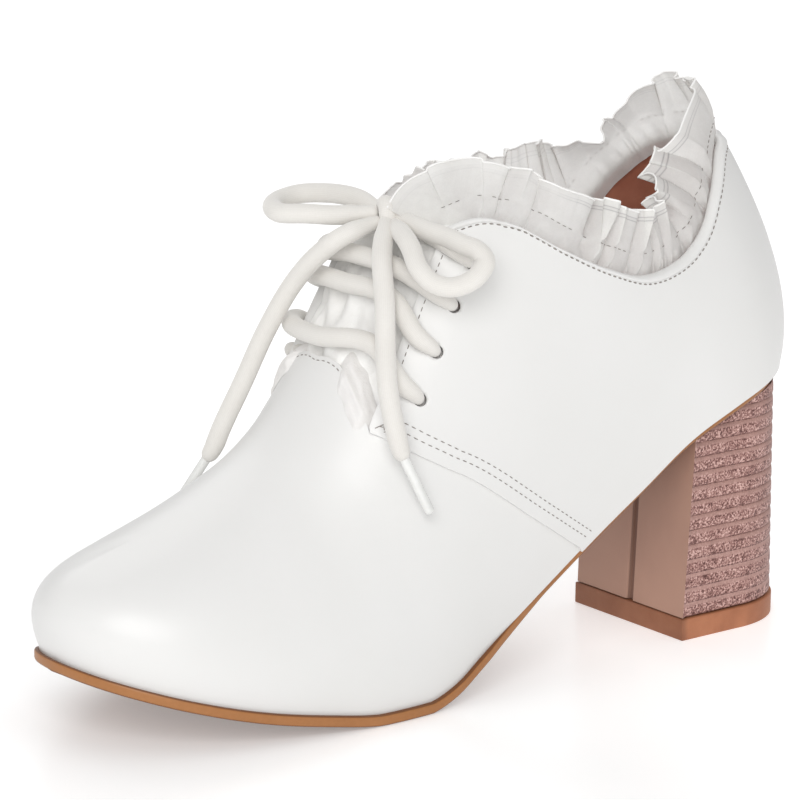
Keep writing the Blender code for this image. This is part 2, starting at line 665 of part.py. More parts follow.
clear_scene()
SHOE = bpy.data.collections.new("lace_up_heeled_shoe")
CUTTERS = bpy.data.collections.new("cutters")
bpy.context.scene.collection.children.link(SHOE)
bpy.context.scene.collection.children.link(CUTTERS)
LEATHER = material("white_leather", (0.86, 0.85, 0.83), 0.35)
SOLE_LOOK = material("tan_sole", (0.42, 0.21, 0.09), 0.5)
INSOLE_LOOK = material("brown_insole", (0.33, 0.12, 0.05), 0.6)
HEEL_LOOK = material("mauve_heel", (0.42, 0.25, 0.22), 0.5)
LIFT_LOOK = material("brown_rubber", (0.30, 0.10, 0.05), 0.6)
SHEER = material("sheer_cloth", (0.88, 0.87, 0.84), 0.7)
LACE_LOOK = material("white_lace", (0.85, 0.83, 0.79), 0.8)
TIP_LOOK = material("clear_tip", (0.80, 0.80, 0.78), 0.2)
upper()
outsole()
insole()
heel_top_lift()
heel_block()
tongue()
collar_frill()
tongue_frill()
lace_bars()
lace_bow()
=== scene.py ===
# %% [markdown]
# # A white lace-up shoe with a block heel
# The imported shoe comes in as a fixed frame. Each cell below dresses one of its pieces: leather over
# the last, cloth for the frill, cord for the lace, and moulded plastic for heel and sole.

# %% Load the frame
import math

import bmesh
import bpy
import numpy as np
from mathutils import Matrix, Vector


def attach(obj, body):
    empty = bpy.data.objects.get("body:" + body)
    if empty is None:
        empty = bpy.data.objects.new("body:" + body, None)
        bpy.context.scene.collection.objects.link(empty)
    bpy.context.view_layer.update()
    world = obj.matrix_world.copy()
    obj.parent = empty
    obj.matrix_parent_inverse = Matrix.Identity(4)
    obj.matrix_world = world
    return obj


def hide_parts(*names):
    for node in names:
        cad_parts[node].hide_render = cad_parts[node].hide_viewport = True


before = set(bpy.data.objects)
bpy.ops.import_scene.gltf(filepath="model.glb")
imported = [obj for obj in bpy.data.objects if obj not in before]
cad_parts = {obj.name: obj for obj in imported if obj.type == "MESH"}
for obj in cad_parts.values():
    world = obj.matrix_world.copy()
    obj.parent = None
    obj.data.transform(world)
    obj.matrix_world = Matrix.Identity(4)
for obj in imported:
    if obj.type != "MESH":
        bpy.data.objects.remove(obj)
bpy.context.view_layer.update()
MM = 0.001
ORIGIN = np.array((116.73, -0.55, 0.0))   # middle of the shoe, in millimetres from the toe tip
print("frame:", len(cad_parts), "nodes")

# %% [markdown]
# ## Camera
# The photo was taken with a long lens from the toe's outer side, a little above the shoe. A camera is
# turned about its target, so it is easiest to give the target, the two angles and the distance.

# %% Camera
TARGET = (107.37, 0.0, 73.72)
DISTANCE = 1000.0
AZIMUTH = math.radians(36.35)
ELEVATION = math.radians(13.05)
ROLL = math.radians(0.73)
LENS_PX = 3798.56
IMAGE_PX = 800
SENSOR = 36.0


def add_object(name, data):
    """Puts data into the scene as an object."""
    made = bpy.data.objects.new(name, data)
    bpy.context.scene.collection.objects.link(made)
    return made


turn = (Matrix.Rotation(-AZIMUTH, 4, "Z") @ Matrix.Rotation(math.pi / 2 - ELEVATION, 4, "X")
        @ Matrix.Rotation(ROLL, 4, "Z"))
view = bpy.data.cameras.new("photo_camera")
view.sensor_width = SENSOR
view.lens = SENSOR * LENS_PX / IMAGE_PX
camera = add_object("photo_camera", view)
aim = Vector((np.array(TARGET) - ORIGIN) * MM)
camera.matrix_world = Matrix.Translation(aim + turn.to_3x3() @ Vector((0, 0, DISTANCE * MM))) @ turn
bpy.context.scene.camera = camera
print("camera:", [round(x, 3) for x in camera.location], "lens", round(view.lens, 1))

# %% [markdown]
# ## The last
# A shoe is shaped over a last, a solid foot form. A table gives its sections, and a curve between sole
# and ridge fills each of them. Every leather piece, seam and stitch is then found by two numbers: the
# section s, counted round the foot from the toe, and the height share v, from the sole to the ridge.

# %% Tables of the last
WALL = 1.6             # leather and lining
STEP = 1.1             # how far the quarters lie proud of the vamp
SOLE = 3.0
SEAT_GAP = 0.6
CORNER = 0.71          # height share of the quarter's front corner
LEAN = 0.25            # how much of a section's forward lean shows at its foot
FLAT_EDGE = 0.1        # height share over which the wall's lower edge turns level
THROAT_BACK = 125.0    # the facings end in front of this distance from the toe
SECTIONS = np.array((
    # x, outer, inner, ridge_x, ridge_z, flare, rise, crown
    (1.5, 0.0, 0.0, 24.0, 48.0, 7.8, 17.0, 20.0),
    (3.6, 11.5, 11.0, 25.0, 48.3, 7.8, 17.0, 20.0),
    (9.5, 20.5, 19.8, 28.0, 49.3, 7.6, 18.0, 21.0),
    (21.0, 28.6, 28.0, 34.0, 51.5, 7.2, 19.0, 22.0),
    (38.0, 34.2, 33.8, 43.5, 55.5, 6.8, 21.0, 24.0),
    (58.0, 36.9, 36.4, 53.0, 60.5, 6.5, 24.0, 26.0),
    (79.0, 37.6, 35.6, 61.5, 66.0, 6.5, 28.0, 28.0),
    (99.0, 35.5, 30.8, 69.5, 73.5, 7.0, 32.0, 33.0),
    (118.0, 32.0, 26.0, 76.5, 82.5, 9.0, 34.0, 36.0),
    (135.0, 29.4, 23.2, 84.0, 94.0, 10.0, 34.0, 39.0),
    (152.0, 28.0, 22.8, 92.5, 108.5, 10.0, 34.0, 41.0),
    (168.0, 27.6, 24.0, 104.0, 128.0, 9.0, 34.0, 41.0),
    (184.0, 27.4, 25.4, 122.0, 148.0, 8.0, 32.0, 38.0),
    (200.0, 26.8, 26.0, 146.0, 160.0, 7.0, 30.0, 30.0),
    (214.0, 23.4, 23.2, 170.0, 163.0, 7.0, 28.0, 24.0),
    (224.5, 16.6, 16.6, 188.0, 158.0, 7.5, 22.0, 19.0),
    (230.0, 8.6, 8.6, 195.0, 153.5, 9.5, 20.0, 17.0),
    (231.5, 0.0, 0.0, 197.0, 152.0, 9.5, 20.0, 17.0),
))
# Side views of edges: distance from the toe and height, or half width on the facings.
COLLAR = ((95.0, 114.0), (107.5, 122.2), (115.0, 124.7), (123.3, 122.9), (135.8, 115.9), (150.8, 109.2),
          (164.0, 105.7), (173.3, 106.8), (182.2, 110.5), (188.3, 115.5), (195.6, 125.5), (202.6, 133.5),
          (209.0, 136.2), (218.0, 136.8))
FACING = ((70.0, 23.5), (80.0, 22.5), (90.0, 21.0), (100.0, 19.5), (110.0, 18.5), (125.0, 18.0))
TREAD = ((0.0, 17.7), (10.0, 14.4), (20.0, 11.3), (40.0, 6.0), (60.0, 2.2), (75.0, 0.0), (92.0, 0.0),
         (101.0, 3.0), (110.0, 8.3), (118.0, 13.0), (135.0, 23.0), (152.0, 33.9), (168.0, 44.3),
         (184.0, 55.0), (200.0, 62.2), (214.0, 66.4), (232.0, 70.2))
# Seam of the quarter and edge of the vamp: height share, and section from the toe.
SEAM = ((0.0, 9.66), (0.12, 9.24), (0.26, 8.74), (0.42, 8.20), (0.56, 7.72), (0.71, 7.40))
THROAT = ((0.71, 7.40), (0.78, 7.68), (0.85, 8.06), (0.91, 8.38), (0.96, 8.53), (1.0, 8.58))
EYELETS = ((10.76, 0.713), (10.16, 0.703), (9.39, 0.682), (8.47, 0.647))
SIDES = (("outer", False), ("inner", True))
BACK = len(SECTIONS) - 1
RING = np.vstack([np.column_stack([SECTIONS[:, 0], -SECTIONS[:, 1], SECTIONS[:, 3:]]),
                  np.column_stack([SECTIONS[:, 0], SECTIONS[:, 2], SECTIONS[:, 3:]])[-2:0:-1]])
print("last:", len(SECTIONS), "sections")

# %% Functions of the last


def smooth_table(rows, at):
    """A two-column table read as a smooth curve."""
    knots, values = np.array(rows, float).T
    slopes = np.gradient(values, knots)
    i = np.clip(np.searchsorted(knots, at, side="right") - 1, 0, len(knots) - 2)
    width = knots[i + 1] - knots[i]
    t = (at - knots[i]) / width
    start = (1 + 2 * t) * (1 - t) ** 2 * values[i] + t * (1 - t) ** 2 * width * slopes[i]
    return start + t * t * (3 - 2 * t) * values[i + 1] - t * t * (1 - t) * width * slopes[i + 1]


def straight_table(rows, at):
    """A two-column table read along straight lines."""
    return np.interp(at, *np.array(rows).T)


def run_along(line):
    """Distance along a line, at each of its points."""
    return np.concatenate([[0], np.cumsum(np.linalg.norm(np.diff(line, axis=0), axis=1))])


def tread(x):
    """Height of the sole's underside, flat where it meets the floor."""
    return np.maximum(smooth_table(TREAD, x), 0.0)


def station(s):
    """The section values at place s of the ring: toe, outer side, back, inner side."""
    base = np.floor(s).astype(int)
    t = (s - base)[..., None]
    before, first, second, after = (RING[(base + k) % len(RING)] for k in (-1, 0, 1, 2))
    out, back = (second - before) / 2, (after - first) / 2
    blend = (1 + 2 * t) * (1 - t) ** 2 * first + t * (1 - t) ** 2 * out
    return blend + t * t * (3 - 2 * t) * second - t * t * (1 - t) * back


def ridge_slope(s):
    """How steeply the ridge rises towards the heel."""
    folded = np.abs((s + BACK) % (2 * BACK) - BACK)
    low, high = station(np.maximum(folded - 0.4, 0)), station(np.minimum(folded + 0.4, BACK))
    return (high[..., 3] - low[..., 3]) / (high[..., 2] - low[..., 2])


def last_point(s, v):
    """A point of the last, in millimetres from the toe tip."""
    s, v = np.broadcast_arrays(np.asarray(s, float), np.asarray(v, float))
    x, y, ridge_x, ridge_z, flare, rise, crown = np.moveaxis(station(s), -1, 0)
    along = station(s + 0.02) - station(s - 0.02)
    size = np.hypot(along[..., 0], along[..., 1])
    out_x, out_y = along[..., 1] / size, -along[..., 0] / size
    feather = np.stack([x, y, tread(x) + SOLE + SEAT_GAP], -1)
    ridge = np.stack([ridge_x, np.zeros_like(x), ridge_z], -1)
    foot = feather + np.stack([out_x * flare + LEAN * (ridge_x - x) * out_y ** 2, out_y * flare, rise], -1)
    head = ridge + crown[..., None] * np.stack([out_x, out_y, out_x * ridge_slope(s)], -1)
    t = v[..., None]
    return ((1 - t) ** 3 * feather + 3 * t * (1 - t) ** 2 * foot
            + 3 * t * t * (1 - t) * head + t ** 3 * ridge)


def unit(ways):
    """Directions brought to length 1."""
    return ways / np.linalg.norm(ways, axis=-1, keepdims=True)


def last_normal(s, v):
    """The outward direction of the last."""
    s, v = np.broadcast_arrays(np.asarray(s, float), np.asarray(v, float))
    low = np.minimum(v, 0.98)
    round_way = last_point(s + 0.05, low) - last_point(s - 0.05, low)
    up_way = last_point(s, low + 0.002) - last_point(s, low - 0.002)
    slope = ridge_slope(s)
    on_ridge = np.stack([-slope, np.zeros_like(slope), np.ones_like(slope)], -1)
    return unit(np.where((v > 0.999)[..., None], on_ridge, np.cross(round_way, up_way)))


def skin(s, v, offset=0.0):
    """A point of the last moved outwards, level with the sole at the feather edge."""
    way = last_normal(s, v)
    way[..., 2] *= np.clip(v / FLAT_EDGE, 0, 1)
    return last_point(s, v) + np.asarray(offset, float)[..., None] * way


print("last at the ball, half way up:", np.round(last_point(6.0, 0.5), 1))

# %% [markdown]
# ### Edges on the last
# The vamp ends at a seam and at the throat, and the quarters end at the facings and the collar. Each of
# these edges is found on the last, so that leather, binding and stitches can all follow it.

# %% Edges on the last


def seam_place(v):
    """The section at which the vamp ends, at the seam or the throat."""
    return np.where(v < CORNER, smooth_table(SEAM, np.minimum(v, CORNER)),
                    smooth_table(THROAT, np.maximum(v, CORNER)))


def quarter_place(column, v):
    """The section of a quarter's column, from the seam 0 to the back of the heel 1."""
    seam = seam_place(v)
    return seam + column * (BACK - seam)


def top_edge(column):
    """The height share at which a quarter's column meets the facing edge or the collar."""
    if column <= 0:
        return CORNER
    v = np.linspace(0.1, 0.995, 400)
    point = last_point(quarter_place(column, v), v)
    below = smooth_table(COLLAR, np.clip(point[:, 0], COLLAR[0][0], COLLAR[-1][0])) - point[:, 2]
    beside = np.abs(point[:, 1]) - smooth_table(FACING, np.clip(point[:, 0], FACING[0][0], FACING[-1][0]))
    inside = np.where(point[:, 0] < THROAT_BACK, np.minimum(beside, below), below)
    first = int(np.argmax(inside < 0))
    return np.interp(0.0, [-inside[first - 1], -inside[first]], [v[first - 1], v[first]])


def mirrored(s, inner):
    """The same place on the outer side of the ring, or on its inner side."""
    return np.where(inner, 2 * BACK - s, s)


EDGE_COLUMN = np.linspace(0, 1, 240)
EDGE_TOP = np.array([top_edge(column) for column in EDGE_COLUMN])
edge_line = last_point(quarter_place(EDGE_COLUMN, EDGE_TOP), EDGE_TOP)
EDGE_LENGTH = run_along(edge_line)


def edge_place(share, inner):
    """Section and height share of a quarter's top edge, at a share of its length from corner to back."""
    column = np.interp(share * EDGE_LENGTH[-1], EDGE_LENGTH, EDGE_COLUMN)
    top = np.interp(column, EDGE_COLUMN, EDGE_TOP)
    return mirrored(quarter_place(column, top), inner), top


def below_edge(share, inner, down, offset):
    """A point at a distance below the quarter's top edge, and off the last."""
    s, top = edge_place(share, inner)
    reach = np.linalg.norm(last_point(s, top) - last_point(s, top - 0.02), axis=-1) / 0.02
    return skin(s, top - down / reach, offset)


print("top edge of a quarter:", round(EDGE_LENGTH[-1]), "mm")

# %% [markdown]
# ## Materials as Python expressions
# A material is a net of nodes. Writing it as sums and products keeps it readable, so one small class
# wraps an output socket and turns Python's operators into Math nodes. A second class holds the material
# itself, and has short names for the nodes that are used often.

# %% Wires


class Wire:
    """An output socket that takes part in Python arithmetic."""

    def __init__(self, paint, socket):
        self.paint = paint
        self.socket = socket

    def maths(self, operation, first, second):
        return self.paint.node("ShaderNodeMath", {"operation": operation}, {0: first, 1: second})

    def __add__(self, other):
        return self.maths("ADD", self, other)

    def __mul__(self, other):
        return self.maths("MULTIPLY", self, other)

    def __sub__(self, other):
        return self.maths("SUBTRACT", self, other)

    def __rsub__(self, other):
        return self.maths("SUBTRACT", other, self)


print("wires can be added, subtracted and multiplied")

# %% Paint
WHITE = (1.0, 1.0, 1.0)


class Paint:
    """A material under construction, around one Principled shader."""

    def __init__(self, name, **constants):
        self.made = bpy.data.materials.new(name)
        self.made.use_nodes = True
        self.tree = self.made.node_tree
        self.shader = self.tree.nodes["Principled BSDF"]
        for socket, value in constants.items():
            self.shader.inputs[socket.replace("_", " ")].default_value = value

    def node(self, kind, settings, inputs, output=0):
        """Adds a node: its settings first, then the values or links of its sockets."""
        made = self.tree.nodes.new(kind)
        for name, value in settings.items():
            if name == "stops":
                steps = made.color_ramp.elements
                for i, (place, colour) in enumerate(value):
                    stop = steps[i] if i < 2 else steps.new(place)
                    stop.position = place
                    stop.color = (*colour, 1.0)
            else:
                setattr(made, name, value)
        for name, value in inputs.items():
            self.link(value, made.inputs[name])
        return Wire(self, made.outputs[output])

    def link(self, value, socket):
        if isinstance(value, Wire):
            self.tree.links.new(value.socket, socket)
        else:
            socket.default_value = value

    def feed(self, **sockets):
        for name, value in sockets.items():
            self.link(value, self.shader.inputs[name.replace("_", " ")])
        return self.made

    def let_light_through(self, share, colour):
        """Mixes in a share of light that passes through a thin sheet."""
        through = self.node("ShaderNodeBsdfTranslucent", {}, {"Color": colour})
        surface = Wire(self, self.shader.outputs[0])
        both = self.node("ShaderNodeMixShader", {}, {0: share, 1: surface, 2: through})
        self.link(both, self.tree.nodes["Material Output"].inputs["Surface"])

    def place(self, output="Object"):
        return self.node("ShaderNodeTexCoord", {}, {}, output)

    def axis(self, name, output="Object"):
        """One coordinate of a place."""
        return self.node("ShaderNodeSeparateXYZ", {}, {"Vector": self.place(output)}, name)

    def between(self, value, low, high, **settings):
        """The share of the way from a low value to a high one."""
        return self.node("ShaderNodeMapRange", settings, {"Value": value, "From Min": low, "From Max": high})

    def single(self, operation, value):
        return self.node("ShaderNodeMath", {"operation": operation}, {0: value})

    def times(self, colour, shade, share=1.0):
        """A colour darkened by a shade."""
        settings = {"data_type": "RGBA", "blend_type": "MULTIPLY"}
        return self.node("ShaderNodeMix", settings, {0: share, 6: colour, 7: shade}, 2)

    def noise(self, where, scale, detail=3.0, rough=0.5):
        return self.node("ShaderNodeTexNoise", {}, {"Vector": where, "Scale": scale, "Detail": detail,
                                                     "Roughness": rough})

    def ramp(self, value, *stops):
        return self.node("ShaderNodeValToRGB", {"stops": stops}, {"Fac": value})

    def bump(self, height, strength, depth):
        return self.node("ShaderNodeBump", {}, {"Height": height, "Strength": strength, "Distance": depth})


print("material helpers ready")

# %% [markdown]
# ## Leather, lining and thread
# White leather has a soft gloss and a fine grain of rounded cells. Cells from a Voronoi texture and a
# little noise, both well under a millimetre, only lift the surface; the colour stays nearly even.

# %% Leather, lining and thread


def white_leather():
    paint = Paint("white_leather", Specular_IOR_Level=0.45, Coat_Roughness=0.25)
    where = paint.place()
    cells = paint.node("ShaderNodeTexVoronoi", {}, {"Vector": where, "Scale": 1500.0}, "Distance")
    soft = paint.noise(where, 25.0, 2.0)
    fine = paint.noise(where, 2600.0, 2.0)
    colour = paint.ramp(soft, (0.3, (0.755, 0.75, 0.735)), (0.7, (0.775, 0.77, 0.76)))
    return paint.feed(Base_Color=colour, Roughness=soft * 0.04 + cells * 0.08 + 0.33,
                      Coat_Weight=fine * 0.1 + 0.1, Normal=paint.bump(cells * 0.7 + fine * 0.5, 0.2, 0.00006))


def lining_leather():
    paint = Paint("lining_leather", Specular_IOR_Level=0.35)
    where = paint.place()
    soft = paint.noise(where, 90.0, 4.0)
    grain = paint.node("ShaderNodeTexVoronoi", {}, {"Vector": where, "Scale": 1100.0}, "Distance")
    colour = paint.ramp(soft, (0.3, (0.36, 0.135, 0.085)), (0.75, (0.48, 0.20, 0.13)))
    return paint.feed(Base_Color=colour, Roughness=soft * 0.2 + 0.45, Normal=paint.bump(grain, 0.3, 0.0001))


def sewing_thread():
    paint = Paint("sewing_thread", Specular_IOR_Level=0.3)
    twist = paint.noise(paint.place(), 2500.0, 2.0)
    # The thread is dark grey: partly its own colour, partly painted shade of the needle holes round each
    # stitch.
    colour = paint.ramp(twist, (0.3, (0.20, 0.18, 0.165)), (0.8, (0.42, 0.39, 0.36)))
    return paint.feed(Base_Color=colour, Roughness=twist * 0.2 + 0.6)


LEATHER, LINING, THREAD = white_leather(), lining_leather(), sewing_thread()
print("leather, lining and thread")

# %% [markdown]
# ## A bent grid
# Cloth, leather and cord are all sheets. So one helper starts from a flat grid and moves each of its
# points to where the sheet lies, worked out from the point's two shares u and v of the grid.

# %% Helpers for pieces
MERGE = 1e-6


def bent_grid(columns, rows, place):
    """A grid whose points are moved to place(u, v), in millimetres from the toe tip."""
    form = bmesh.new()
    form.loops.layers.uv.new("UVMap")
    bmesh.ops.create_grid(form, x_segments=columns, y_segments=rows, size=0.5, calc_uvs=True)
    flat = np.clip(np.array([vert.co for vert in form.verts]) + 0.5, 0, 1)
    for vert, spot in zip(form.verts, (place(flat[:, 0], flat[:, 1]) - ORIGIN) * MM):
        vert.co = spot
    bmesh.ops.remove_doubles(form, verts=form.verts, dist=MERGE)
    return form


def add_piece(name, form, *looks, turn_out=False):
    """Puts a bmesh into the scene as one piece of the shoe."""
    if turn_out:
        bmesh.ops.recalc_face_normals(form, faces=form.faces)
    mesh = bpy.data.meshes.new(name)
    form.to_mesh(mesh)
    form.free()
    mesh.shade_smooth()
    for look in looks:
        mesh.materials.append(look)
    piece = add_object(name, mesh)
    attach(piece, "root")
    print(name, len(mesh.polygons), "faces")
    return piece


def apply_modifiers(piece):
    """Makes the result of a piece's modifiers its own mesh."""
    graph = bpy.context.evaluated_depsgraph_get()
    mesh = bpy.data.meshes.new_from_object(piece.evaluated_get(graph))
    flat = piece.data
    piece.modifiers.clear()
    piece.data = mesh
    bpy.data.meshes.remove(flat)


print("grid and piece helpers ready")

# %% [markdown]
# ### Tubes
# A cord is the same grid, rolled round a route. The route is a smooth curve through a few points, and the
# cross directions are carried along it with as little twist as possible.

# %% Tubes


def smooth_route(points, count):
    """Evenly spaced points on a smooth curve through a cord's own points, and its length."""
    points = np.asarray(points, float)
    chord = run_along(points)
    fine = np.linspace(0, chord[-1], 40 * len(points))
    line = np.column_stack([smooth_table(np.column_stack([chord, axis]), fine) for axis in points.T])
    run = run_along(line)
    even = np.linspace(0, run[-1], count)
    return np.column_stack([np.interp(even, run, axis) for axis in line.T]), run[-1]


def carried_frames(line):
    """Two cross directions for each point of a line, turned as little as possible along it."""
    along = unit(np.gradient(line, axis=0))
    first = [np.cross(along[0], (0.0, 0.0, 1.0) if abs(along[0][2]) < 0.9 else (1.0, 0.0, 0.0))]
    for way in along[1:]:
        first.append(first[-1] - way * (first[-1] @ way))
    first = unit(np.array(first))
    return first, np.cross(along, first)


def tube(name, points, radius, look, squeeze=(None, None), sides=20, step=0.7):
    """A soft tube along a route. squeeze has a table of distance and radius for either end."""
    count = max(8, int(smooth_route(points, 2)[1] / step))
    line, length = smooth_route(points, count)
    side, up = carried_frames(line)
    run = np.linspace(0, length, count)
    wide = np.full(count, radius)
    for from_end, rows in zip((run, length - run), squeeze):
        if rows:
            wide = np.minimum(wide, straight_table(rows, from_end))
    to_end = np.minimum(run, length - run)
    wide = wide * np.sqrt(np.clip(1 - (1 - np.minimum(to_end / wide, 1)) ** 2, 0, 1))

    def place(u, v):
        row = np.rint(u * (count - 1)).astype(int)
        angle = 2 * math.pi * v
        out = side[row] * np.cos(angle)[:, None] + up[row] * np.sin(angle)[:, None]
        return line[row] + out * wide[row][:, None]

    form = bent_grid(count - 1, sides, place)
    for loop in (loop for face in form.faces for loop in face.loops):
        uv = loop[form.loops.layers.uv.active]
        uv.uv = (uv.uv[0] * length, uv.uv[1])
    return add_piece(name, form, look, turn_out=True), line, length


print("tube helpers ready")

# %% [markdown]
# ## Lace
# The lace is a soft cotton cord. Straight bars cross the throat, and the ends meet in a bow on the
# tongue. Its routes are those of the solids, so that what is seen lies where the frame is.

# %% Lace material and routes
LACE = 5.2             # diameters, in millimetres
KNOT_CENTRE = np.array((99.8, -4.0, 124.5))
TIP = 2.6
TIP_LENGTH = 17.0
HOLE = 3.6
ROUTES = {
    "lace_loop_outer": {
        "knot_out": (0.45, -0.88, 0.10),
        "points": ((102.3, -18.0, 122.2), (104.1, -24.0, 121.3), (105.0, -30.0, 120.2), (106.2, -34.4, 119.2),
                   (106.4, -37.0, 117.0), (104.2, -37.5, 114.2), (100.8, -36.5, 111.8), (97.2, -34.0, 110.8),
                   (94.4, -30.8, 111.8), (92.9, -27.4, 114.6), (93.9, -22.2, 119.2)),
        "knot_in": (-0.05, -0.74, -0.67)},
    "lace_loop_inner": {
        "knot_out": (0.0, 0.98, 0.20),
        "points": ((99.2, 11.2, 127.1), (96.7, 19.4, 127.1), (91.8, 24.8, 126.5), (85.9, 25.0, 125.5),
                   (80.4, 20.5, 124.7), (78.7, 14.0, 124.3), (82.1, 8.4, 124.7), (88.4, 3.1, 124.5)),
        "knot_in": (-0.72, 0.62, 0.30)},
    "lace_end_outer": {
        "knot_out": (-0.66, -0.74, -0.08),
        "points": ((89.3, -16.0, 115.8), (86.2, -21.7, 106.2), (83.5, -26.0, 95.0), (81.8, -29.7, 84.9),
                   (82.2, -32.3, 75.8), (83.4, -34.1, 68.9))},
    "lace_end_inner": {
        "knot_out": (-0.83, 0.08, -0.55),
        "points": ((86.0, -2.2, 119.6), (83.2, 3.9, 114.3), (81.2, 11.2, 106.5), (77.2, 18.1, 93.0),
                   (72.2, 21.9, 78.6), (65.9, 22.7, 66.7), (63.4, 22.7, 61.8))},
}
TIPS = {"outer": (0.36, -0.24, -0.90), "inner": (-0.35, 0.40, -0.85)}
OVER_TIP = {"outer": 1.5, "inner": 4.0}   # how far the lace runs on over its tip


def cotton_lace():
    paint = Paint("cotton_lace", Specular_IOR_Level=0.2, Sheen_Weight=0.4, Sheen_Roughness=0.5)
    along, around = paint.axis("X", "UV"), paint.axis("Y", "UV")
    turns = 2 * math.pi * 16
    first = paint.single("SINE", along * 9.0 + around * turns)
    second = paint.single("SINE", along * 9.0 - around * turns)
    fuzz = paint.noise(paint.place(), 1500.0, 4.0, 0.75)
    soft = paint.noise(paint.place(), 90.0)
    braid = first * second * 0.5 + 0.5
    tone = braid * 0.25 + soft * 0.4 + fuzz * 0.35
    colour = paint.ramp(tone, (0.25, (0.70, 0.675, 0.635)), (0.75, (0.79, 0.77, 0.735)))
    return paint.feed(Base_Color=colour, Roughness=fuzz * 0.1 + 0.85,
                      Normal=paint.bump(braid * 0.3 + fuzz, 0.3, 0.00015))


def clear_film():
    paint = Paint("clear_film", Specular_IOR_Level=0.6, Coat_Weight=0.6, Coat_Roughness=0.08)
    soft = paint.noise(paint.place(), 300.0)
    return paint.feed(Base_Color=paint.ramp(soft, (0.3, (0.72, 0.72, 0.70)), (0.7, (0.82, 0.82, 0.80))),
                      Roughness=soft * 0.1 + 0.14)


COTTON, FILM = cotton_lace(), clear_film()
print(len(ROUTES), "free stretches of lace")

# %% [markdown]
# ### Bow
# The knot is a short stretch of lace wound round the middle of the bow. The loops and the ends start in
# it, so it is made first.

# %% Knot
ACROSS = np.array((0.805, -0.593, 0.0))     # along the bow, as the photo sees it
FORWARD = np.array((-0.593, -0.805, 0.0))
WIND = 2.9             # radius at the middle of the wound lace
WOUND = 2.3            # and of the lace itself, pulled tight
turn = np.radians(np.linspace(185, -160, 14))
wound = [KNOT_CENTRE + WIND * (FORWARD * math.cos(a) + np.array((0.0, 0.0, math.sin(a))))
         + ACROSS * (2.2 * i / 13 - 1.1) for i, a in enumerate(turn)]
knot, _, _ = tube("lace_knot", wound, WOUND, COTTON)
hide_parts("lace_knot")

# %% Loops, ends and tips


def knot_side(way):
    return KNOT_CENTRE + unit(np.array(way)) * IN_KNOT


def at_metres(point):
    return tuple((np.asarray(point) - ORIGIN) * MM)


IN_KNOT = 2.2          # distance from the middle of the knot at which a cord starts
TIP_SEAT = 3.0         # how far a tip reaches into the lace
# Distance from the knot or from the free end, and radius there.
PINCHED = ((0.0, 1.95), (4.0, 2.1), (9.0, LACE / 2))
TAPERED = ((0.0, 1.7), (2.5, 2.3), (6.0, LACE / 2))
for name, route in ROUTES.items():
    points = [knot_side(route["knot_out"]), *route["points"]]
    tips = []
    if "knot_in" in route:
        points.append(knot_side(route["knot_in"]))
    else:
        tip_name = name.replace("lace_end", "lace_tip")
        side = name.rsplit("_", 1)[1]
        way = unit(np.array(TIPS[side]))
        last = np.array(route["points"][-1])
        points.append(last + way * OVER_TIP[side])
        along_tip = [last - way * TIP_SEAT, last + way * TIP_LENGTH / 2, last + way * TIP_LENGTH]
        tip, _, _ = tube(tip_name, along_tip, TIP / 2, FILM, step=0.4)
        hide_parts(tip_name)
        tips.append(tip)
    lace, line, length = tube(name, points, LACE / 2, COTTON, (PINCHED, TAPERED if tips else PINCHED))
    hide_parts(name)
    length * MM
    tips + ([knot] if name == "lace_loop_outer" else [])
    print(name, round(length), "mm")

# %% [markdown]
# ### Bars and top strands
# Each bar comes up through a punched hole, where the hole squeezes it, crosses the tongue, and goes
# down on the other side. Two strands from the top eyelets meet in the knot.

# %% Bars and top strands
BAR_CLIMBS = (         # how each bar climbs to the next eyelet, on its way over the tongue
    (0.0, 0.10, 0.15, 0.35, 1.0), (0.0, 0.50, 0.60, 0.72, 1.0), (0.0, 0.45, 0.46, 0.42, 1.0))
# Height of a bar's middle, at an eyelet and at the ridge.
BAR_LIFT = (STEP + LACE / 2 + 0.9, LACE / 2 + 0.3)
# A lace comes up through a hole: height off the last, and distance from the hole towards the throat.
RISE = ((-4.5, 0.3), (-0.8, 0.5), (0.9, 0.8), (STEP + 1.1, 2.3), (STEP + 2.2, 4.8))
SQUEEZED = ((0.0, 1.55), (5.2, 1.7), (6.8, 2.05), (8.8, 2.4), (11.0, LACE / 2))


def through_hole(section, height, inner, slant=0.0):
    """Points that lead a lace up through a punched hole and over the leather, slanting towards the toe."""
    s = mirrored(np.array(float(section)), inner)
    reach = np.linalg.norm(last_point(s, height) - last_point(s, height - 0.02)) / 0.02
    lift, share = np.array(RISE).T / np.array(((1.0,), (reach,)))
    return list(skin(mirrored(section - slant * share, inner), height + share, lift))


def bar_route(start, end, climb):
    """From an outer eyelet over the tongue to the next inner eyelet."""
    section = start[0] + (end[0] - start[0]) * np.array(climb)
    v = np.interp((0, 1, 2, 3, 4), (0, 2, 4), (start[1], 1, end[1]))
    lift = np.interp(v, (start[1], 1), BAR_LIFT)
    over = skin(mirrored(section, np.arange(5) > 2), v, lift)[1:4]
    slant = (section[4] - section[3]) / (v[3] - v[4])
    return through_hole(*start, False) + list(over) + through_hole(*end, True, slant)[::-1]


for number, (start, end, climb) in enumerate(zip(EYELETS[1:], EYELETS, BAR_CLIMBS), start=1):
    route = bar_route(start, end, climb)
    bar, _, _ = tube(f"lace_bar_{number}", route, LACE / 2, COTTON, (SQUEEZED, SQUEEZED))
    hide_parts(f"lace_bar_{number}")

outer_start = through_hole(*EYELETS[0], False)
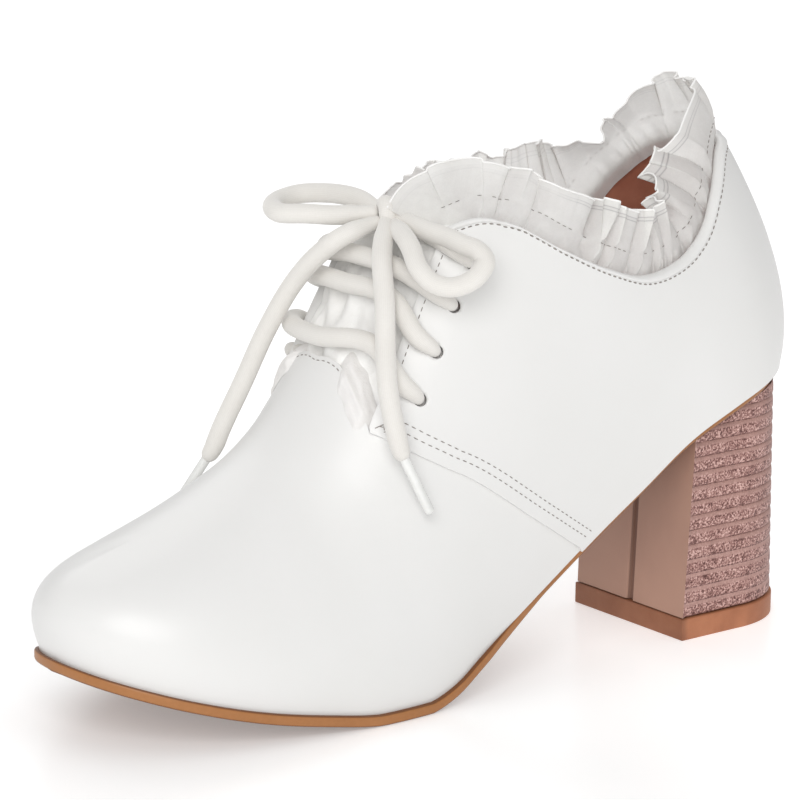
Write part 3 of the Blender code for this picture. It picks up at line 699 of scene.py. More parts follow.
# Height share and height off the last, where the inner strand comes out from under the facing.
UNDER_FACING = np.array(((0.76, -2.6), (0.84, 0.4), (0.90, 3.4)))
under_facing = list(skin(mirrored(10.9, True), *UNDER_FACING.T))
for side, start, pinch in (("outer", outer_start, SQUEEZED), ("inner", under_facing, None)):
    end = KNOT_CENTRE - FORWARD * 1.5 + ACROSS * (2.5 if side == "outer" else -2.5)
    route = [*start, (start[-1] + end) / 2, end]
    strand, _, _ = tube(f"lace_strand_{side}", route, LACE / 2, COTTON, (pinch, PINCHED))
# At the lowest inner eyelet the lace comes up, crosses the facing's edge and goes down beside the tongue.
LOWEST = ((-4.5, 0.3), (-0.8, 0.5), (0.9, 0.8), (STEP + 1.0, 2.3), (STEP + 1.0, 4.6), (-1.0, 7.0),
          (-5.0, 8.0))
WALL_HEIGHT = 70       # length of a whole height share there
FLATTENED = 1.7
section, height = EYELETS[3]
lift, reach = np.array(LOWEST).T
strand_end = skin(mirrored(np.full(len(LOWEST), section), True), height + reach / WALL_HEIGHT, lift)
strand, _, _ = tube("lace_strand_lowest", strand_end, FLATTENED, COTTON)

# %% [markdown]
# ## Upper
# Vamp and quarters are cut from leather and drawn over the last. Each is a bent grid that a Solidify
# modifier gives its wall, with the lining as the second material on the inside. The quarters lie on
# the vamp, and their edges are rounded as folded leather is.

# %% Vamp
CORNER_ROW = 0.7       # share of the rows that lie below the quarter's corner
LAP = 0.14             # how far the vamp runs on under the quarters, in sections
TUCK = 0.8             # how far the lower edge reaches down to the sole


def tucked(points, v):
    """Lets the lower edge meet the sole."""
    points[:, 2] -= TUCK * np.clip(1 - v / 0.012, 0, 1)
    return points


def vamp_place(u, v):
    height = np.interp(v, (0, CORNER_ROW, 1), (0, CORNER, 1))
    across = 2 * u - 1
    lap = LAP * np.clip((CORNER - height) / 0.06, 0, 1)
    s = np.abs(across) * (seam_place(height) + lap)
    return tucked(skin(mirrored(s, across < 0), height), v)


def leather_wall(piece, thickness, round_edge):
    """Gives a sheet its wall, lined inside, with rounded edges."""
    wall = piece.modifiers.new("wall", "SOLIDIFY")
    wall.thickness = thickness * MM
    wall.offset = -1.0
    wall.use_even_offset = True
    wall.material_offset = 1
    edge = piece.modifiers.new("edge", "BEVEL")
    edge.width = round_edge * MM
    edge.segments = 3
    edge.limit_method = "ANGLE"
    edge.angle_limit = math.radians(50)


vamp = add_piece("vamp", bent_grid(120, 80, vamp_place), LEATHER, LINING)
leather_wall(vamp, WALL, 0.4)
apply_modifiers(vamp)
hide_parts("upper")

# %% Quarters
PIN = 9.0              # length of the pins that punch the eyelets


def quarter_point(u, v):
    share = 1 - np.abs(2 * u - 1)
    column = np.interp(share * EDGE_LENGTH[-1], EDGE_LENGTH, EDGE_COLUMN)
    height = v * np.interp(column, EDGE_COLUMN, EDGE_TOP)
    s = mirrored(quarter_place(column, height), u > 0.5)
    return tucked(skin(s, height, STEP), v)


def eyelet_pins():
    """Pins through all eyelets, which punch the holes."""
    form = bmesh.new()
    for _, inner in SIDES:
        for section, height in EYELETS:
            s, v = mirrored(np.array(float(section)), inner), np.array(height)
            turn = Vector(last_normal(s, v)).to_track_quat("Z", "Y").to_matrix().to_4x4()
            pose = Matrix.Translation(Vector(at_metres(skin(s, v)))) @ turn
            bmesh.ops.create_cone(form, cap_ends=True, segments=24, radius1=HOLE / 2 * MM,
                                  radius2=HOLE / 2 * MM, depth=PIN * MM, matrix=pose)
    return add_piece("eyelet_pins", form, LEATHER)


quarters = add_piece("quarters", bent_grid(220, 56, quarter_point), LEATHER, LINING)
leather_wall(quarters, STEP + WALL, 0.45)
pins = eyelet_pins()
punch = quarters.modifiers.new("eyelets", "BOOLEAN")
punch.operation = "DIFFERENCE"
punch.object = pins
apply_modifiers(quarters)
bpy.data.objects.remove(pins, do_unlink=True)
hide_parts("upper")

# %% [markdown]
# ### Collar binding
# A narrow strip of leather is folded over the collar. Its cross-section is a short table: distance
# below the edge, and distance off the last.

# %% Collar binding
COLLAR_START = 0.285   # share of the quarter's top edge at which the facing turns into the collar
BINDING = np.array((
    (1.65, 0.95), (1.55, 1.35), (1.1, 1.6), (0.5, 1.6), (-0.05, 1.35), (-0.5, 0.8), (-0.8, 0.05),
    (-0.8, -0.6), (-0.45, -1.25), (0.1, -1.7), (0.6, -1.85), (1.2, -1.8), (1.6, -1.5)))


def collar_share(u):
    """Share of the top edge and side of the foot, along the collar from the outer to the inner facing."""
    return COLLAR_START + (1 - COLLAR_START) * (1 - np.abs(2 * u - 1)), u > 0.5


def read_rows(table, share):
    """The columns of a table, at a share of the way down its rows."""
    rows = np.arange(len(table))
    return [np.interp(share * rows[-1], rows, column) for column in table.T]


def binding_place(u, v):
    share, inner = collar_share(u)
    down, offset = read_rows(BINDING, v)
    return below_edge(share, inner, down, offset)


binding = add_piece("collar_binding", bent_grid(260, 24, binding_place), LEATHER)

# %% [markdown]
# ## Stitches
# Each stitch is one short bead of thread, pressed a little into the leather. A row is a line on the
# last, cut into equal steps, and all its stitches are one mesh.

# %% Stitch helper
STITCH = (1.5, 0.17, 0.16)   # length, half width and height


def stitch_row(name, line, ways, pitch=2.1, size=STITCH, skip=0.0):
    """A row of stitches along a line, lying on a surface with the given outward ways."""
    run = run_along(line)
    count = int(run[-1] / pitch)
    middles = (np.arange(count) + 0.5) * run[-1] / count
    middles = middles[np.random.default_rng(7).random(count) >= skip]

    def read(values, shift):
        return np.column_stack([np.interp(middles + shift, run, axis) for axis in values.T])

    form = bmesh.new()
    for spot, up, head, tail in zip(read(line, 0), read(ways, 0), read(line, 0.4), read(line, -0.4)):
        along = unit(head - tail)
        across = unit(np.cross(up, along))
        axes = (along * size[0] / 2, across * size[1], np.cross(along, across) * size[2])
        pose = (Matrix([tuple(axis) for axis in axes]).transposed() * MM).to_4x4()
        pose.translation = at_metres(spot)
        bmesh.ops.create_icosphere(form, subdivisions=1, radius=1.0, matrix=pose)
    return add_piece(name, form, THREAD, turn_out=True)


def row_on_last(name, s, v, offset, pitch=2.1):
    return stitch_row(name, skin(s, v, offset), last_normal(s, v), pitch)


def behind_seam(v, back):
    """The section at a distance behind the quarter's front edge."""
    column = np.linspace(0, 0.15, 40)
    line = np.array([last_point(quarter_place(one, v), v) for one in column])
    reach = np.cumsum(np.linalg.norm(np.diff(line, axis=0, prepend=line[:1]), axis=2), axis=0)
    found = [np.interp(far, reach[:, i], column) for i, far in enumerate(np.broadcast_to(back, len(v)))]
    return quarter_place(np.array(found), v)


print("a stitch is", STITCH[0], "mm long")

# %% Rows along collar, facings, seams and throat
SEAM_ROWS = (3.6, 5.9)        # distance behind the quarter's front edge
FACING_ROW = 2.2              # and below the edges of the facing and the collar
COLLAR_ROW = 2.15
COLLAR_STITCH = (1.4, 0.24, 0.2)
# Zigzag that holds the quarter's corner: height share, and distance behind the edge.
TACK = np.array(((0.705, 1.5), (0.690, 3.3), (0.675, 1.5), (0.660, 3.3), (0.645, 1.5), (0.630, 3.3),
                 (0.700, 2.4)))
u = np.linspace(0.0, 1.0, 500)
share, inner = collar_share(u)
row = below_edge(share, inner, COLLAR_ROW, STEP)
stitch_row("stitches_collar", row, last_normal(*edge_place(share, inner)), 1.9, COLLAR_STITCH)
for side, inner in SIDES:
    share = np.linspace(0.06, COLLAR_START - 0.01, 120)
    row = below_edge(share, inner, FACING_ROW, STEP)
    stitch_row(f"stitches_facing_{side}", row, last_normal(*edge_place(share, inner)), 2.0)
    v = np.linspace(0.02, CORNER - 0.06, 120)
    for number, back in enumerate(SEAM_ROWS, start=1):
        row_on_last(f"stitches_seam_{side}_{number}", mirrored(behind_seam(v, back), inner), v, STEP)
    v, back = read_rows(TACK, np.linspace(0, 1, 60))
    row_on_last(f"stitches_tack_{side}", mirrored(behind_seam(v, back), inner), v, STEP, 1.3)
    v = np.linspace(CORNER + 0.03, 1.0, 80)
    row_on_last(f"stitches_throat_{side}", mirrored(seam_place(v) - 0.09, inner), v, 0.0, 2.0)

# %% [markdown]
# ## Sheer cloth
# The tongue and the frill are crisp organza. Light passes between its threads, so a fine noise feeds the
# alpha, and folds that lie on top of each other look denser. The free strips also glow with light from
# behind, so a translucent shader is mixed in there.

# %% Sheer cloth


def organza(name, density, tones, hem):
    paint = Paint(name, Specular_IOR_Level=0.3, Sheen_Weight=0.2, Sheen_Roughness=0.4)
    where = paint.place()
    threads = paint.noise(where, 2400.0, 2.0, 0.7)
    crinkle = paint.noise(where, 420.0, 3.0, 0.6)
    soft = paint.noise(where, 120.0, 3.0)
    tone = paint.ramp(soft * 0.6 + crinkle * 0.4, (0.3, tones[0]), (0.7, tones[1]))
    alpha = threads * 0.16 + crinkle * 0.12 + (density - 0.14)
    if hem:
        height = paint.axis("Y", "UV")
        shown = paint.ramp(paint.axis("X", "UV"), *HEM_SHOWN)
        tone = paint.times(tone, paint.ramp(height, *HEM_LINES), shown)
        alpha = alpha + paint.between(height, 0.90, 0.93) * 0.2
        paint.let_light_through(0.45, (0.91, 0.90, 0.88, 1.0))
    return paint.feed(Base_Color=tone, Roughness=threads * 0.2 + 0.5, Alpha=alpha,
                      Normal=paint.bump(threads * 0.4 + crinkle, 0.45, 0.00045))


GREY = (0.45, 0.45, 0.47)
HEM_LINES = ((0.0, WHITE), (0.865, WHITE), (0.875, GREY), (0.885, WHITE), (0.905, WHITE), (0.915, GREY),
             (0.925, WHITE), (1.0, WHITE))
# The lines of the hem show best on the near side, and little at the front and round the back.
HEM_SHOWN = ((0.0, (0.15,) * 3), (0.10, (0.2,) * 3), (0.16, WHITE), (0.40, WHITE), (0.46, (0.4,) * 3),
             (1.0, (0.3,) * 3))
LIGHT = ((0.86, 0.85, 0.83), (0.93, 0.925, 0.91))
WARM = ((0.79, 0.77, 0.755), (0.85, 0.835, 0.82))
SHEER = organza("sheer_cloth", 0.92, LIGHT, True)
BACKED = organza("backed_cloth", 1.1, LIGHT, False)
GATHERED = organza("gathered_cloth", 1.1, WARM, False)
print("organza: sheer, backed and gathered")

# %% [markdown]
# ### Tongue
# The tongue lies under the facings, a little below the last. Sums of sine waves raise soft folds on it
# where the throat leaves it free.

# %% Tongue
TONGUE_ENDS = (7.7, 11.2)      # sections at its foot and top
TONGUE_HALVES = (25.0, 22.0)   # half widths there
TONGUE_BEND = (9.8, 10.8)      # sections between which it sinks
TONGUE_DEPTHS = (0.5, 5.0)     # and how deep
TONGUE = 1.2                   # thickness of its solid
CLOTH = 0.5                    # and of the cloth
TUCKED = 0.5           # how far, in sections, the cloth runs on under the vamp
WIDER = 5.0            # and in millimetres under each facing
ROW_HEIGHTS = np.linspace(0.45, 1.0, 200)
# How far the cloth bulges: along the tongue as a share, and across it in millimetres.
BULGE_ALONG = ((0.6, 0.0), (0.85, 1.0), (0.94, 1.0), (1.0, 0.2))
BULGE_ACROSS = ((0.0, 2.0), (0.5, 4.0), (0.7, 4.0), (0.9, 1.0))


def height_at(section, half):
    """The height share at which a section is this half width."""
    widths = np.abs(last_point(np.full(200, section), ROW_HEIGHTS)[:, 1])
    return np.interp(half, widths[::-1], ROW_HEIGHTS[::-1])


def tongue_point(u, v, lift=0.0, wider=0.0, tucked=0.0):
    """A point of the tongue: u across from the outer to the inner edge, v from its foot to its top."""
    section = np.interp(v, (0, 1), (TONGUE_ENDS[0] - tucked, TONGUE_ENDS[1]))
    half = np.interp(section, TONGUE_ENDS, TONGUE_HALVES) + wider
    lowest = np.array([height_at(*pair) for pair in zip(section, half)])
    side = 2 * u - 1
    height = 1 - (1 - lowest) * np.abs(side)
    depth = -WALL - np.interp(section, TONGUE_BEND, TONGUE_DEPTHS) + lift
    return skin(mirrored(section, side > 0), height, depth)


def gathers(u, v):
    """Soft folds that run up the tongue and wander a little, full only between the facings."""
    wander = 0.35 * np.sin(5.1 * v + 1.2) + 0.2 * np.sin(11.0 * v)
    folds = np.sin(2 * math.pi * (7.5 * u + wander))
    folds = folds + 0.6 * np.sin(2 * math.pi * (12.0 * u - 0.7 * wander + 0.3))
    puffs = np.sin(2 * math.pi * (4.2 * v + 0.5 * np.sin(6 * u) + 0.4 * np.sin(13 * u + 2)))
    free = np.clip((1 - np.abs(2 * u - 1)) / 0.55 - 0.45, 0, 1) * np.clip(v / 0.3 - 0.4, 0, 1)
    return (1.0 + 0.55 * folds + 0.55 * puffs) * free * np.clip((1.02 - v) / 0.15, 0.3, 1) - 0.4


def tongue_place(u, v):
    side = np.abs(2 * u - 1)
    raised = straight_table(BULGE_ALONG, v) * straight_table(BULGE_ACROSS, side)
    return tongue_point(u, v, gathers(u, v) + raised, WIDER, TUCKED)


tongue = add_piece("tongue_cloth", bent_grid(120, 110, tongue_place), BACKED)
cloth = tongue.modifiers.new("cloth", "SOLIDIFY")
cloth.thickness = CLOTH * MM
cloth.offset = -1.0
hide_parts("tongue")

# %% [markdown]
# ### Cloth over the vamp's edge
# Beside the throat the gathered cloth spills over the edge of the vamp as a soft, uneven roll.

# %% Cloth over the vamp's edge
SPILL = (0.712, 0.93)      # height shares between which the cloth hides the edge of the throat
SPILL_REACH = (4.6, 5.5)   # how far it reaches over the vamp, and back over the tongue
# Height of the roll over the last, from the vamp to the tongue.
SPILL_FORM = ((0.0, 0.05), (0.1, 0.6), (0.3, 1.3), (0.5, 1.4), (0.75, 0.4), (1.0, -1.6))


def spill_place(u, v, inner):
    """A soft roll of cloth: u along the edge from the quarter's corner upwards, v from vamp to tongue."""
    height = np.interp(u, (0, 1), SPILL)
    s = seam_place(height)
    reach = np.linalg.norm(last_point(s + 0.1, height) - last_point(s - 0.1, height), axis=1) / 0.2
    fade = np.clip(np.minimum(u / 0.25, (1 - u) / 0.3), 0, 1)
    fade = fade * fade * (3 - 2 * fade)
    uneven = 1 + 0.10 * np.sin(9 * u + 1) + 0.05 * np.sin(19 * u)
    away = np.interp(v, (0, 1), (-SPILL_REACH[0], SPILL_REACH[1])) * np.where(v < 0.45, fade * uneven, 1)
    crumple = 0.25 * np.sin(13 * v + 4 * u) + 0.12 * np.sin(22 * v - 7 * u + 1) + 0.12 * np.sin(9 * u + 5 * v)
    lift = (straight_table(SPILL_FORM, v) + crumple * np.sin(math.pi * v)) * fade - 1.3 * (1 - fade)
    return skin(mirrored(s + away / reach, inner), height, lift)


for side, inner in SIDES:
    form = bent_grid(90, 30, lambda u, v, inner=inner: spill_place(u, v, inner))
    spill = add_piece(f"throat_gathers_{side}", form, GATHERED)

# %% [markdown]
# ### Frill
# A strip of organza, longer than the collar, is gathered into folds, sewn inside the collar and left
# to stand. It carries on square to the collar's edge. Where the collar turns up steeply the free edge
# has too much room, so it falls inwards there and folds. A row of stitches pinches the folds again a
# little above the leather. Short tables along the collar say how tall the strip is and how far it leans.

# %% Tables of the frill
FRILL_SEAT = -4.2      # where the strip starts, under the edge of the collar
GATHER = 6.3           # height of the second row of stitches
FOLDS = 27.0           # along the whole strip
# Place along the strip, and how much of its way up is straight up.
UPRIGHT = ((0.0, 0.12), (0.56, 0.12), (0.66, 0.45), (0.84, 0.45), (0.94, 0.15), (1.0, 0.15))
# Place along the strip from the outer front (0) round the back (0.5) to the inner front (1), height of the
# strip there, inward lean of its free edge, and size of its folds.
STANCE = np.array((
    (0.0, 15.0, -1.0, 0.8), (0.02, 17.5, -1.5, 1.0), (0.05, 14.5, -1.5, 1.0), (0.09, 15.0, -0.5, 1.0),
    (0.14, 17.0, 0.0, 1.0), (0.2, 17.0, 0.0, 1.0), (0.27, 17.0, 0.5, 1.0), (0.31, 17.5, 3.0, 1.0),
    (0.35, 17.5, 6.5, 1.0), (0.40, 17.5, 6.0, 0.8), (0.44, 18.0, 0.0, 0.5), (0.47, 18.0, -2.0, 0.5),
    (0.5, 18.0, -1.0, 0.4), (0.55, 19.0, 2.5, 0.5), (0.59, 17.0, 9.0, 0.7), (0.63, 18.0, 6.5, 0.7),
    (0.67, 22.0, 2.0, 0.5), (0.71, 26.0, 0.5, 0.45), (0.76, 26.5, 0.0, 0.4), (0.81, 23.0, 0.0, 0.4),
    (0.86, 18.5, 0.0, 0.35), (0.9, 13.5, 0.5, 0.25), (0.94, 4.5, 0.5, 0.2), (1.0, 1.0, 0.5, 0.15)))
# Single deep folds: place along the strip, half width, and depth inwards.
TUCKS = ((0.322, 0.008, 7.0), (0.372, 0.010, 3.5), (0.612, 0.009, 4.0))
# Height on the strip, with the depth of its folds there, and with its distance inwards.
FOLD_DEPTHS = ((FRILL_SEAT, 0.2), (0.0, 0.3), (3.0, 0.9), (GATHER, 1.2), (14.0, 2.3))
INWARDS = ((FRILL_SEAT, 2.2), (0.0, 2.1), (3.0, 1.3), (GATHER, 0.8))
print("frill:", STANCE[:, 1].min(), "to", STANCE[:, 1].max(), "mm tall")

# %% Frill


def frill_base(u):
    """Rim of the collar, and the ways up, outwards and along it there."""

    def edge(at):
        return edge_place(*collar_share(at))

    s, top = edge(u)
    out = last_normal(s, top)
    ahead = unit(last_point(*edge(np.clip(u + 0.004, 0, 1))) - last_point(*edge(np.clip(u - 0.004, 0, 1))))
    upright = straight_table(UPRIGHT, u)[:, None] * np.array((0.0, 0.0, 1.0))
    up = unit(unit(np.cross(out, ahead)) + upright)
    return last_point(s, top), up, out, ahead


def frill_folds(u):
    """Phase of the folds along the strip, uneven as hand-fed gathers are, and their size."""
    phase = FOLDS * u + 0.30 * np.sin(23.0 * u + 0.5) + 0.24 * np.sin(61.0 * u + 2.0)
    phase = phase + 0.1 * np.sin(140.0 * u)
    return 2 * math.pi * phase, 1 + 0.35 * np.sin(37.0 * u + 1) + 0.25 * np.sin(83.0 * u)


def frill_place(u, v):
    rim, up, out, ahead = frill_base(u)
    phase, size = frill_folds(u)
    tall, lean, folds = (smooth_table(STANCE[:, (0, k)], u) for k in (1, 2, 3))
    height = FRILL_SEAT + v * (tall - FRILL_SEAT)
    free = np.clip((height - GATHER) / np.maximum(tall - GATHER, 2.0), 0, 1)
    tucks = sum(depth * np.exp(-((u - at) / half) ** 2) for at, half, depth in TUCKS)
    pinch = 1 - 0.5 * np.exp(-((height - GATHER) / 0.9) ** 2)
    depth = straight_table(FOLD_DEPTHS, height) * pinch * size * folds
    wave = np.sin(phase + 0.5 * free * np.sin(0.5 * phase)) + 0.3 * np.sin(2 * phase + 0.8)
    flutter = np.sin(0.37 * phase + 1.0) + 0.6 * np.sin(0.61 * phase + 2.2)
    inwards = straight_table(INWARDS, height) + free ** 1.5 * (lean + tucks)
    swell = 2.2 * np.exp(-((u - 0.47) / 0.05) ** 2) * np.sin(math.pi * np.clip(height / tall, 0, 1))
    ripple = 0.8 * np.sin(0.5 * phase + 0.7) + 0.6 * np.sin(0.23 * phase)
    rise = height + free * ripple - 0.25 * free * tucks
    puckers = 0.4 * np.sin(3 * phase + np.sin(phase)) * np.exp(-((height - 1.8) / 1.6) ** 2)
    offset = depth * wave + 0.8 * free * folds * flutter + puckers + swell - inwards
    slip = 0.55 * depth * np.sin(2 * phase) + free * folds * np.cos(0.5 * phase)
    return rim + up * rise[:, None] + out * offset[:, None] + ahead * slip[:, None]


frill = add_piece("frill_cloth", bent_grid(900, 30, frill_place), SHEER)
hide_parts("collar_frill")
edge = frill_place(np.linspace(0, 1, 900), np.full(900, 0.7))

# %% Hem and gathering stitches of the frill
HEM = 0.28                     # radius of the rolled edge
GATHER_STITCH = (1.4, 0.12, 0.12)
GATHER_SKIP = 0.35             # share of the stitches that sink between folds


def hem(name, place, count):
    """A narrow rolled edge along the free edge of a strip."""
    line = place(np.linspace(0, 1, count), np.ones(count))
    return tube(name, line, HEM, BACKED, sides=8, step=0.6)[0]


frill_hem = hem("frill_hem", frill_place, 500)
u = np.linspace(0.01, 0.89, 1200)
at_gather = (GATHER - FRILL_SEAT) / (smooth_table(STANCE[:, :2], u) - FRILL_SEAT)
gather_line = frill_place(u, at_gather)
out = frill_base(u)[2]
stitch_row("stitches_frill", gather_line + out * 0.12, out, 2.0, GATHER_STITCH, GATHER_SKIP)

# %% Frill of the tongue
TONGUE_FRILL = 11.0    # width of the strip


def tongue_frill_place(u, v):
    ones = np.ones_like(u)
    top, below = tongue_point(u, ones, -TONGUE / 2), tongue_point(u, 0.96 * ones, -TONGUE / 2)
    up = unit(top - below)
    ahead = unit(tongue_point(np.clip(u + 0.01, 0, 1), ones) - tongue_point(np.clip(u - 0.01, 0, 1), ones))
    out = unit(np.cross(up, ahead))
    phase = 2 * math.pi * (6.0 * u + 0.12 * np.sin(17 * u))
    wave = (0.3 + 1.3 * v) * np.sin(phase) + 0.5 * v * np.sin(0.4 * phase + 1)
    height = 0.2 + v * (TONGUE_FRILL - 3.5 * u * u + 0.6 * np.sin(0.5 * phase))
    return top + up * height[:, None] + out * wave[:, None] + ahead * (0.3 * v * np.sin(2 * phase))[:, None]


tongue_frill = add_piece("tongue_frill_cloth", bent_grid(240, 18, tongue_frill_place), SHEER)
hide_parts("tongue_frill")
edge = tongue_frill_place(np.linspace(0, 1, 400), np.full(400, 0.7))
tongue_hem = hem("tongue_frill_hem", tongue_frill_place, 160)

# %% [markdown]
# ## Sole and insole
# Both are boards that follow the tread. A board is one closed band of grid: its cross-section goes
# along the underside, up one edge, back over the top and down the other edge, with rounded corners.

# %% Boards
# Distance from the toe, and how far the sole reaches past the last's foot.
SOLE_MARGIN = ((0.0, 1.3), (112.0, 1.3), (135.0, -1.0), (190.0, -1.0), (232.0, -0.5))
INSOLE = 1.8
INSOLE_INSET = 2.1
# Side of the board, share of its thickness, and inset from its edge in millimetres.
BOARD = np.array((
    (-1, 0.5, 0.0), (-1, 0.22, 0.0), (-1, 0.06, 0.2), (-1, 0.0, 0.7), (-0.5, 0.0, 0.35), (0, 0.0, 0.0),
    (0.5, 0.0, 0.35), (1, 0.0, 0.7), (1, 0.06, 0.2), (1, 0.22, 0.0), (1, 0.5, 0.0), (1, 0.78, 0.0),
    (1, 0.94, 0.2), (1, 1.0, 0.7), (0.5, 1.0, 0.35), (0, 1.0, 0.0), (-0.5, 1.0, 0.35), (-1, 1.0, 0.7),
    (-1, 0.94, 0.2), (-1, 0.78, 0.0), (-1, 0.5, 0.0)))


def board(margins, low, high):
    """A board under the foot, between two heights above the tread."""

    def edge(s, inner, inset):
        place = mirrored(s, inner)
        along = station(place + 0.02) - station(place - 0.02)
        out = unit(np.stack([along[:, 1], -along[:, 0]], -1))
        ground = station(place)[:, :2]
        return ground + out * (straight_table(margins, ground[:, 0]) - inset)[:, None]

    def place(u, v):
        s = BACK * (1 - np.cos(math.pi * u)) / 2
        side, level, inset = read_rows(BOARD, v)
        inset = inset * np.clip(np.minimum(s, BACK - s) / 0.3, 0, 1)
        outer, inner = edge(s, np.zeros(len(s), bool), inset), edge(s, np.ones(len(s), bool), inset)
        ground = (outer * (1 - side)[:, None] + inner * (1 + side)[:, None]) / 2
        return np.column_stack([ground, tread(ground[:, 0]) + low + level * (high - low)])

    return bent_grid(240, 60, place)


print("board:", len(BOARD), "points round its cross-section")

# %% Sole and insole


def tan_sole():
    paint = Paint("tan_sole", Specular_IOR_Level=0.4)
    where = paint.place()
    fine = paint.noise(where, 900.0)
    soft = paint.noise(where, 60.0)
    colour = paint.ramp(fine * 0.4 + soft * 0.6, (0.3, (0.34, 0.14, 0.043)), (0.7, (0.41, 0.175, 0.06)))
    colour = paint.times(colour, paint.ramp(paint.axis("Y", "UV"), *EDGE_LINES))
    return paint.feed(Base_Color=colour, Roughness=fine * 0.2 + 0.36, Normal=paint.bump(fine, 0.12, 0.0002))


DARK = (0.45, 0.38, 0.32)
# The underside and the top are darker than the edge: share of the way round the cross-section, and tone.
EDGE_LINES = ((0.0, WHITE), (0.07, WHITE), (0.10, DARK), (0.40, DARK), (0.43, WHITE), (0.57, WHITE),
              (0.60, DARK), (0.90, DARK), (0.93, WHITE), (1.0, WHITE))
sole = add_piece("outsole", board(SOLE_MARGIN, 0.0, SOLE), tan_sole(), turn_out=True)
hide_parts("outsole")
inset = ((0.0, -INSOLE_INSET), (TREAD[-1][0], -INSOLE_INSET))
insole = add_piece("insole", board(inset, SOLE + SEAT_GAP, SOLE + SEAT_GAP + INSOLE), LINING, turn_out=True)
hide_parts("insole")

# %% [markdown]
# ## Heel
# The block heel is moulded: ribs run level round its sides and back, each one speckled like bark,
# and the breast is smooth with a groove down its middle. A rubber lift closes it below.

# %% Heel outline
HEEL_FRONT = 187.6
HEEL_DEPTH = 46.0
HEEL_WIDTH = 46.0
HEEL_TAPER = 0.06
HEEL_STRAIGHT = 0.45
HEEL_SPREAD = 0.015
BREAST_LEAN = 0.04
HEEL_BACK_LEAN = -0.04
LIFT = 6.0
LIFT_MARGIN = 0.5
RIB_PITCH = 4.1
RIB_DEPTH = 0.7
GROOVE_WIDTH = 2.4
GROOVE_DEPTH = 1.0


def heel_side(t, z, grow=0.0, rib=0.0):
    """The heel's plan along its outer side, back and inner side; t runs from 0 to 1."""
    front = HEEL_FRONT + BREAST_LEAN * z - grow
    depth = HEEL_DEPTH + (HEEL_BACK_LEAN - BREAST_LEAN) * z + 2 * grow
    half = HEEL_WIDTH / 2 + HEEL_SPREAD * z + grow
    straight = depth * HEEL_STRAIGHT
    narrow = half - HEEL_TAPER * straight
    angle = (np.clip(t, 0.2, 0.8) - 0.5) / 0.3 * math.pi / 2
    ahead = np.clip(np.abs(t - 0.5) - 0.3, 0, None) / 0.2
    x = front + straight * (1 - ahead) + (depth - straight - rib) * np.cos(angle)
    y = np.sin(angle) * (narrow - rib + (half - narrow) * ahead)
    return np.column_stack([x, y])


print("heel:", HEEL_DEPTH, "by", HEEL_WIDTH, "mm at the floor")

# %% Heel shape
RIB_ROWS = 8           # rows of faces in a rib
low = LIFT + 0.3
ribs = math.ceil((TREAD[-1][1] - low) / RIB_PITCH) + 1


def seat(x):
    """Height of the heel's top, along the sole."""
    return tread(np.clip(x, TREAD[0][0], TREAD[-1][0])) - 0.05


def rib_depth(z):
    """Each rib is a rounded band with a sharp groove under it."""
    share = ((z - low) / RIB_PITCH) % 1.0
    groove = 0.9 * np.clip(1 - share / 0.16, 0, 1)
    return RIB_DEPTH * (0.10 + groove + 0.35 * np.clip((share - 0.62) / 0.38, 0, 1) ** 2)


def heel_place(u, v):
    z = low + v * ribs * RIB_PITCH
    smooth_end = np.clip(np.minimum(u, 1 - u) / 0.012, 0, 1)
    plan = heel_side(u, z, 0.0, rib_depth(z) * smooth_end)
    return np.column_stack([plan, np.minimum(z, seat(plan[:, 0]))])


def breast_place(u, v):
    z = low + v * ribs * RIB_PITCH
    corner = heel_side(np.zeros_like(z), z)
    y = np.abs(corner[:, 1]) * (1 - 2 * u)
    groove = GROOVE_DEPTH * np.clip((GROOVE_WIDTH / 2 + 0.25 - np.abs(y)) / 0.5, 0, 1)
    x = corner[:, 0] + groove
    return np.column_stack([x, y, np.minimum(z, seat(x))])


print("heel:", ribs, "ribs")

# %% Heel block


def heel_ribs():
    paint = Paint("heel_ribs", Specular_IOR_Level=0.35)
    where = paint.place()
    specks = paint.noise(where, 1700.0, 3.0, 0.7)
    patches = paint.noise(where, 260.0, 2.0)
    share = paint.single("FRACT", (paint.axis("Z") * 1000.0 - low) * (1 / RIB_PITCH))
    ridge = paint.between(share, 0.70, 0.80, interpolation_type="SMOOTHSTEP")
    # Painted shade: each rib darkens towards the sharp groove under it.
    groove = paint.ramp(share, (0.0, (0.45, 0.42, 0.42)), (0.07, (0.75, 0.72, 0.72)), (0.14, WHITE))
    bark = paint.ramp(specks * 0.85 + patches * 0.15, (0.40, (0.09, 0.03, 0.027)),
                      (0.51, (0.36, 0.185, 0.16)), (0.62, (0.75, 0.50, 0.45)))
    # The smooth strip at the top of each rib has no speckles and is painted lighter, a painted highlight
    # where its rounded shoulder faces the light.
    smooth = (0.46, 0.275, 0.24, 1.0)
    colour = paint.node("ShaderNodeMix", {"data_type": "RGBA"}, {0: ridge * 0.8, 6: bark, 7: smooth}, 2)
    bumps = paint.bump(specks * (1 - ridge), 0.5, 0.00025)
    return paint.feed(Base_Color=paint.times(colour, groove), Roughness=specks * 0.25 + 0.42, Normal=bumps)


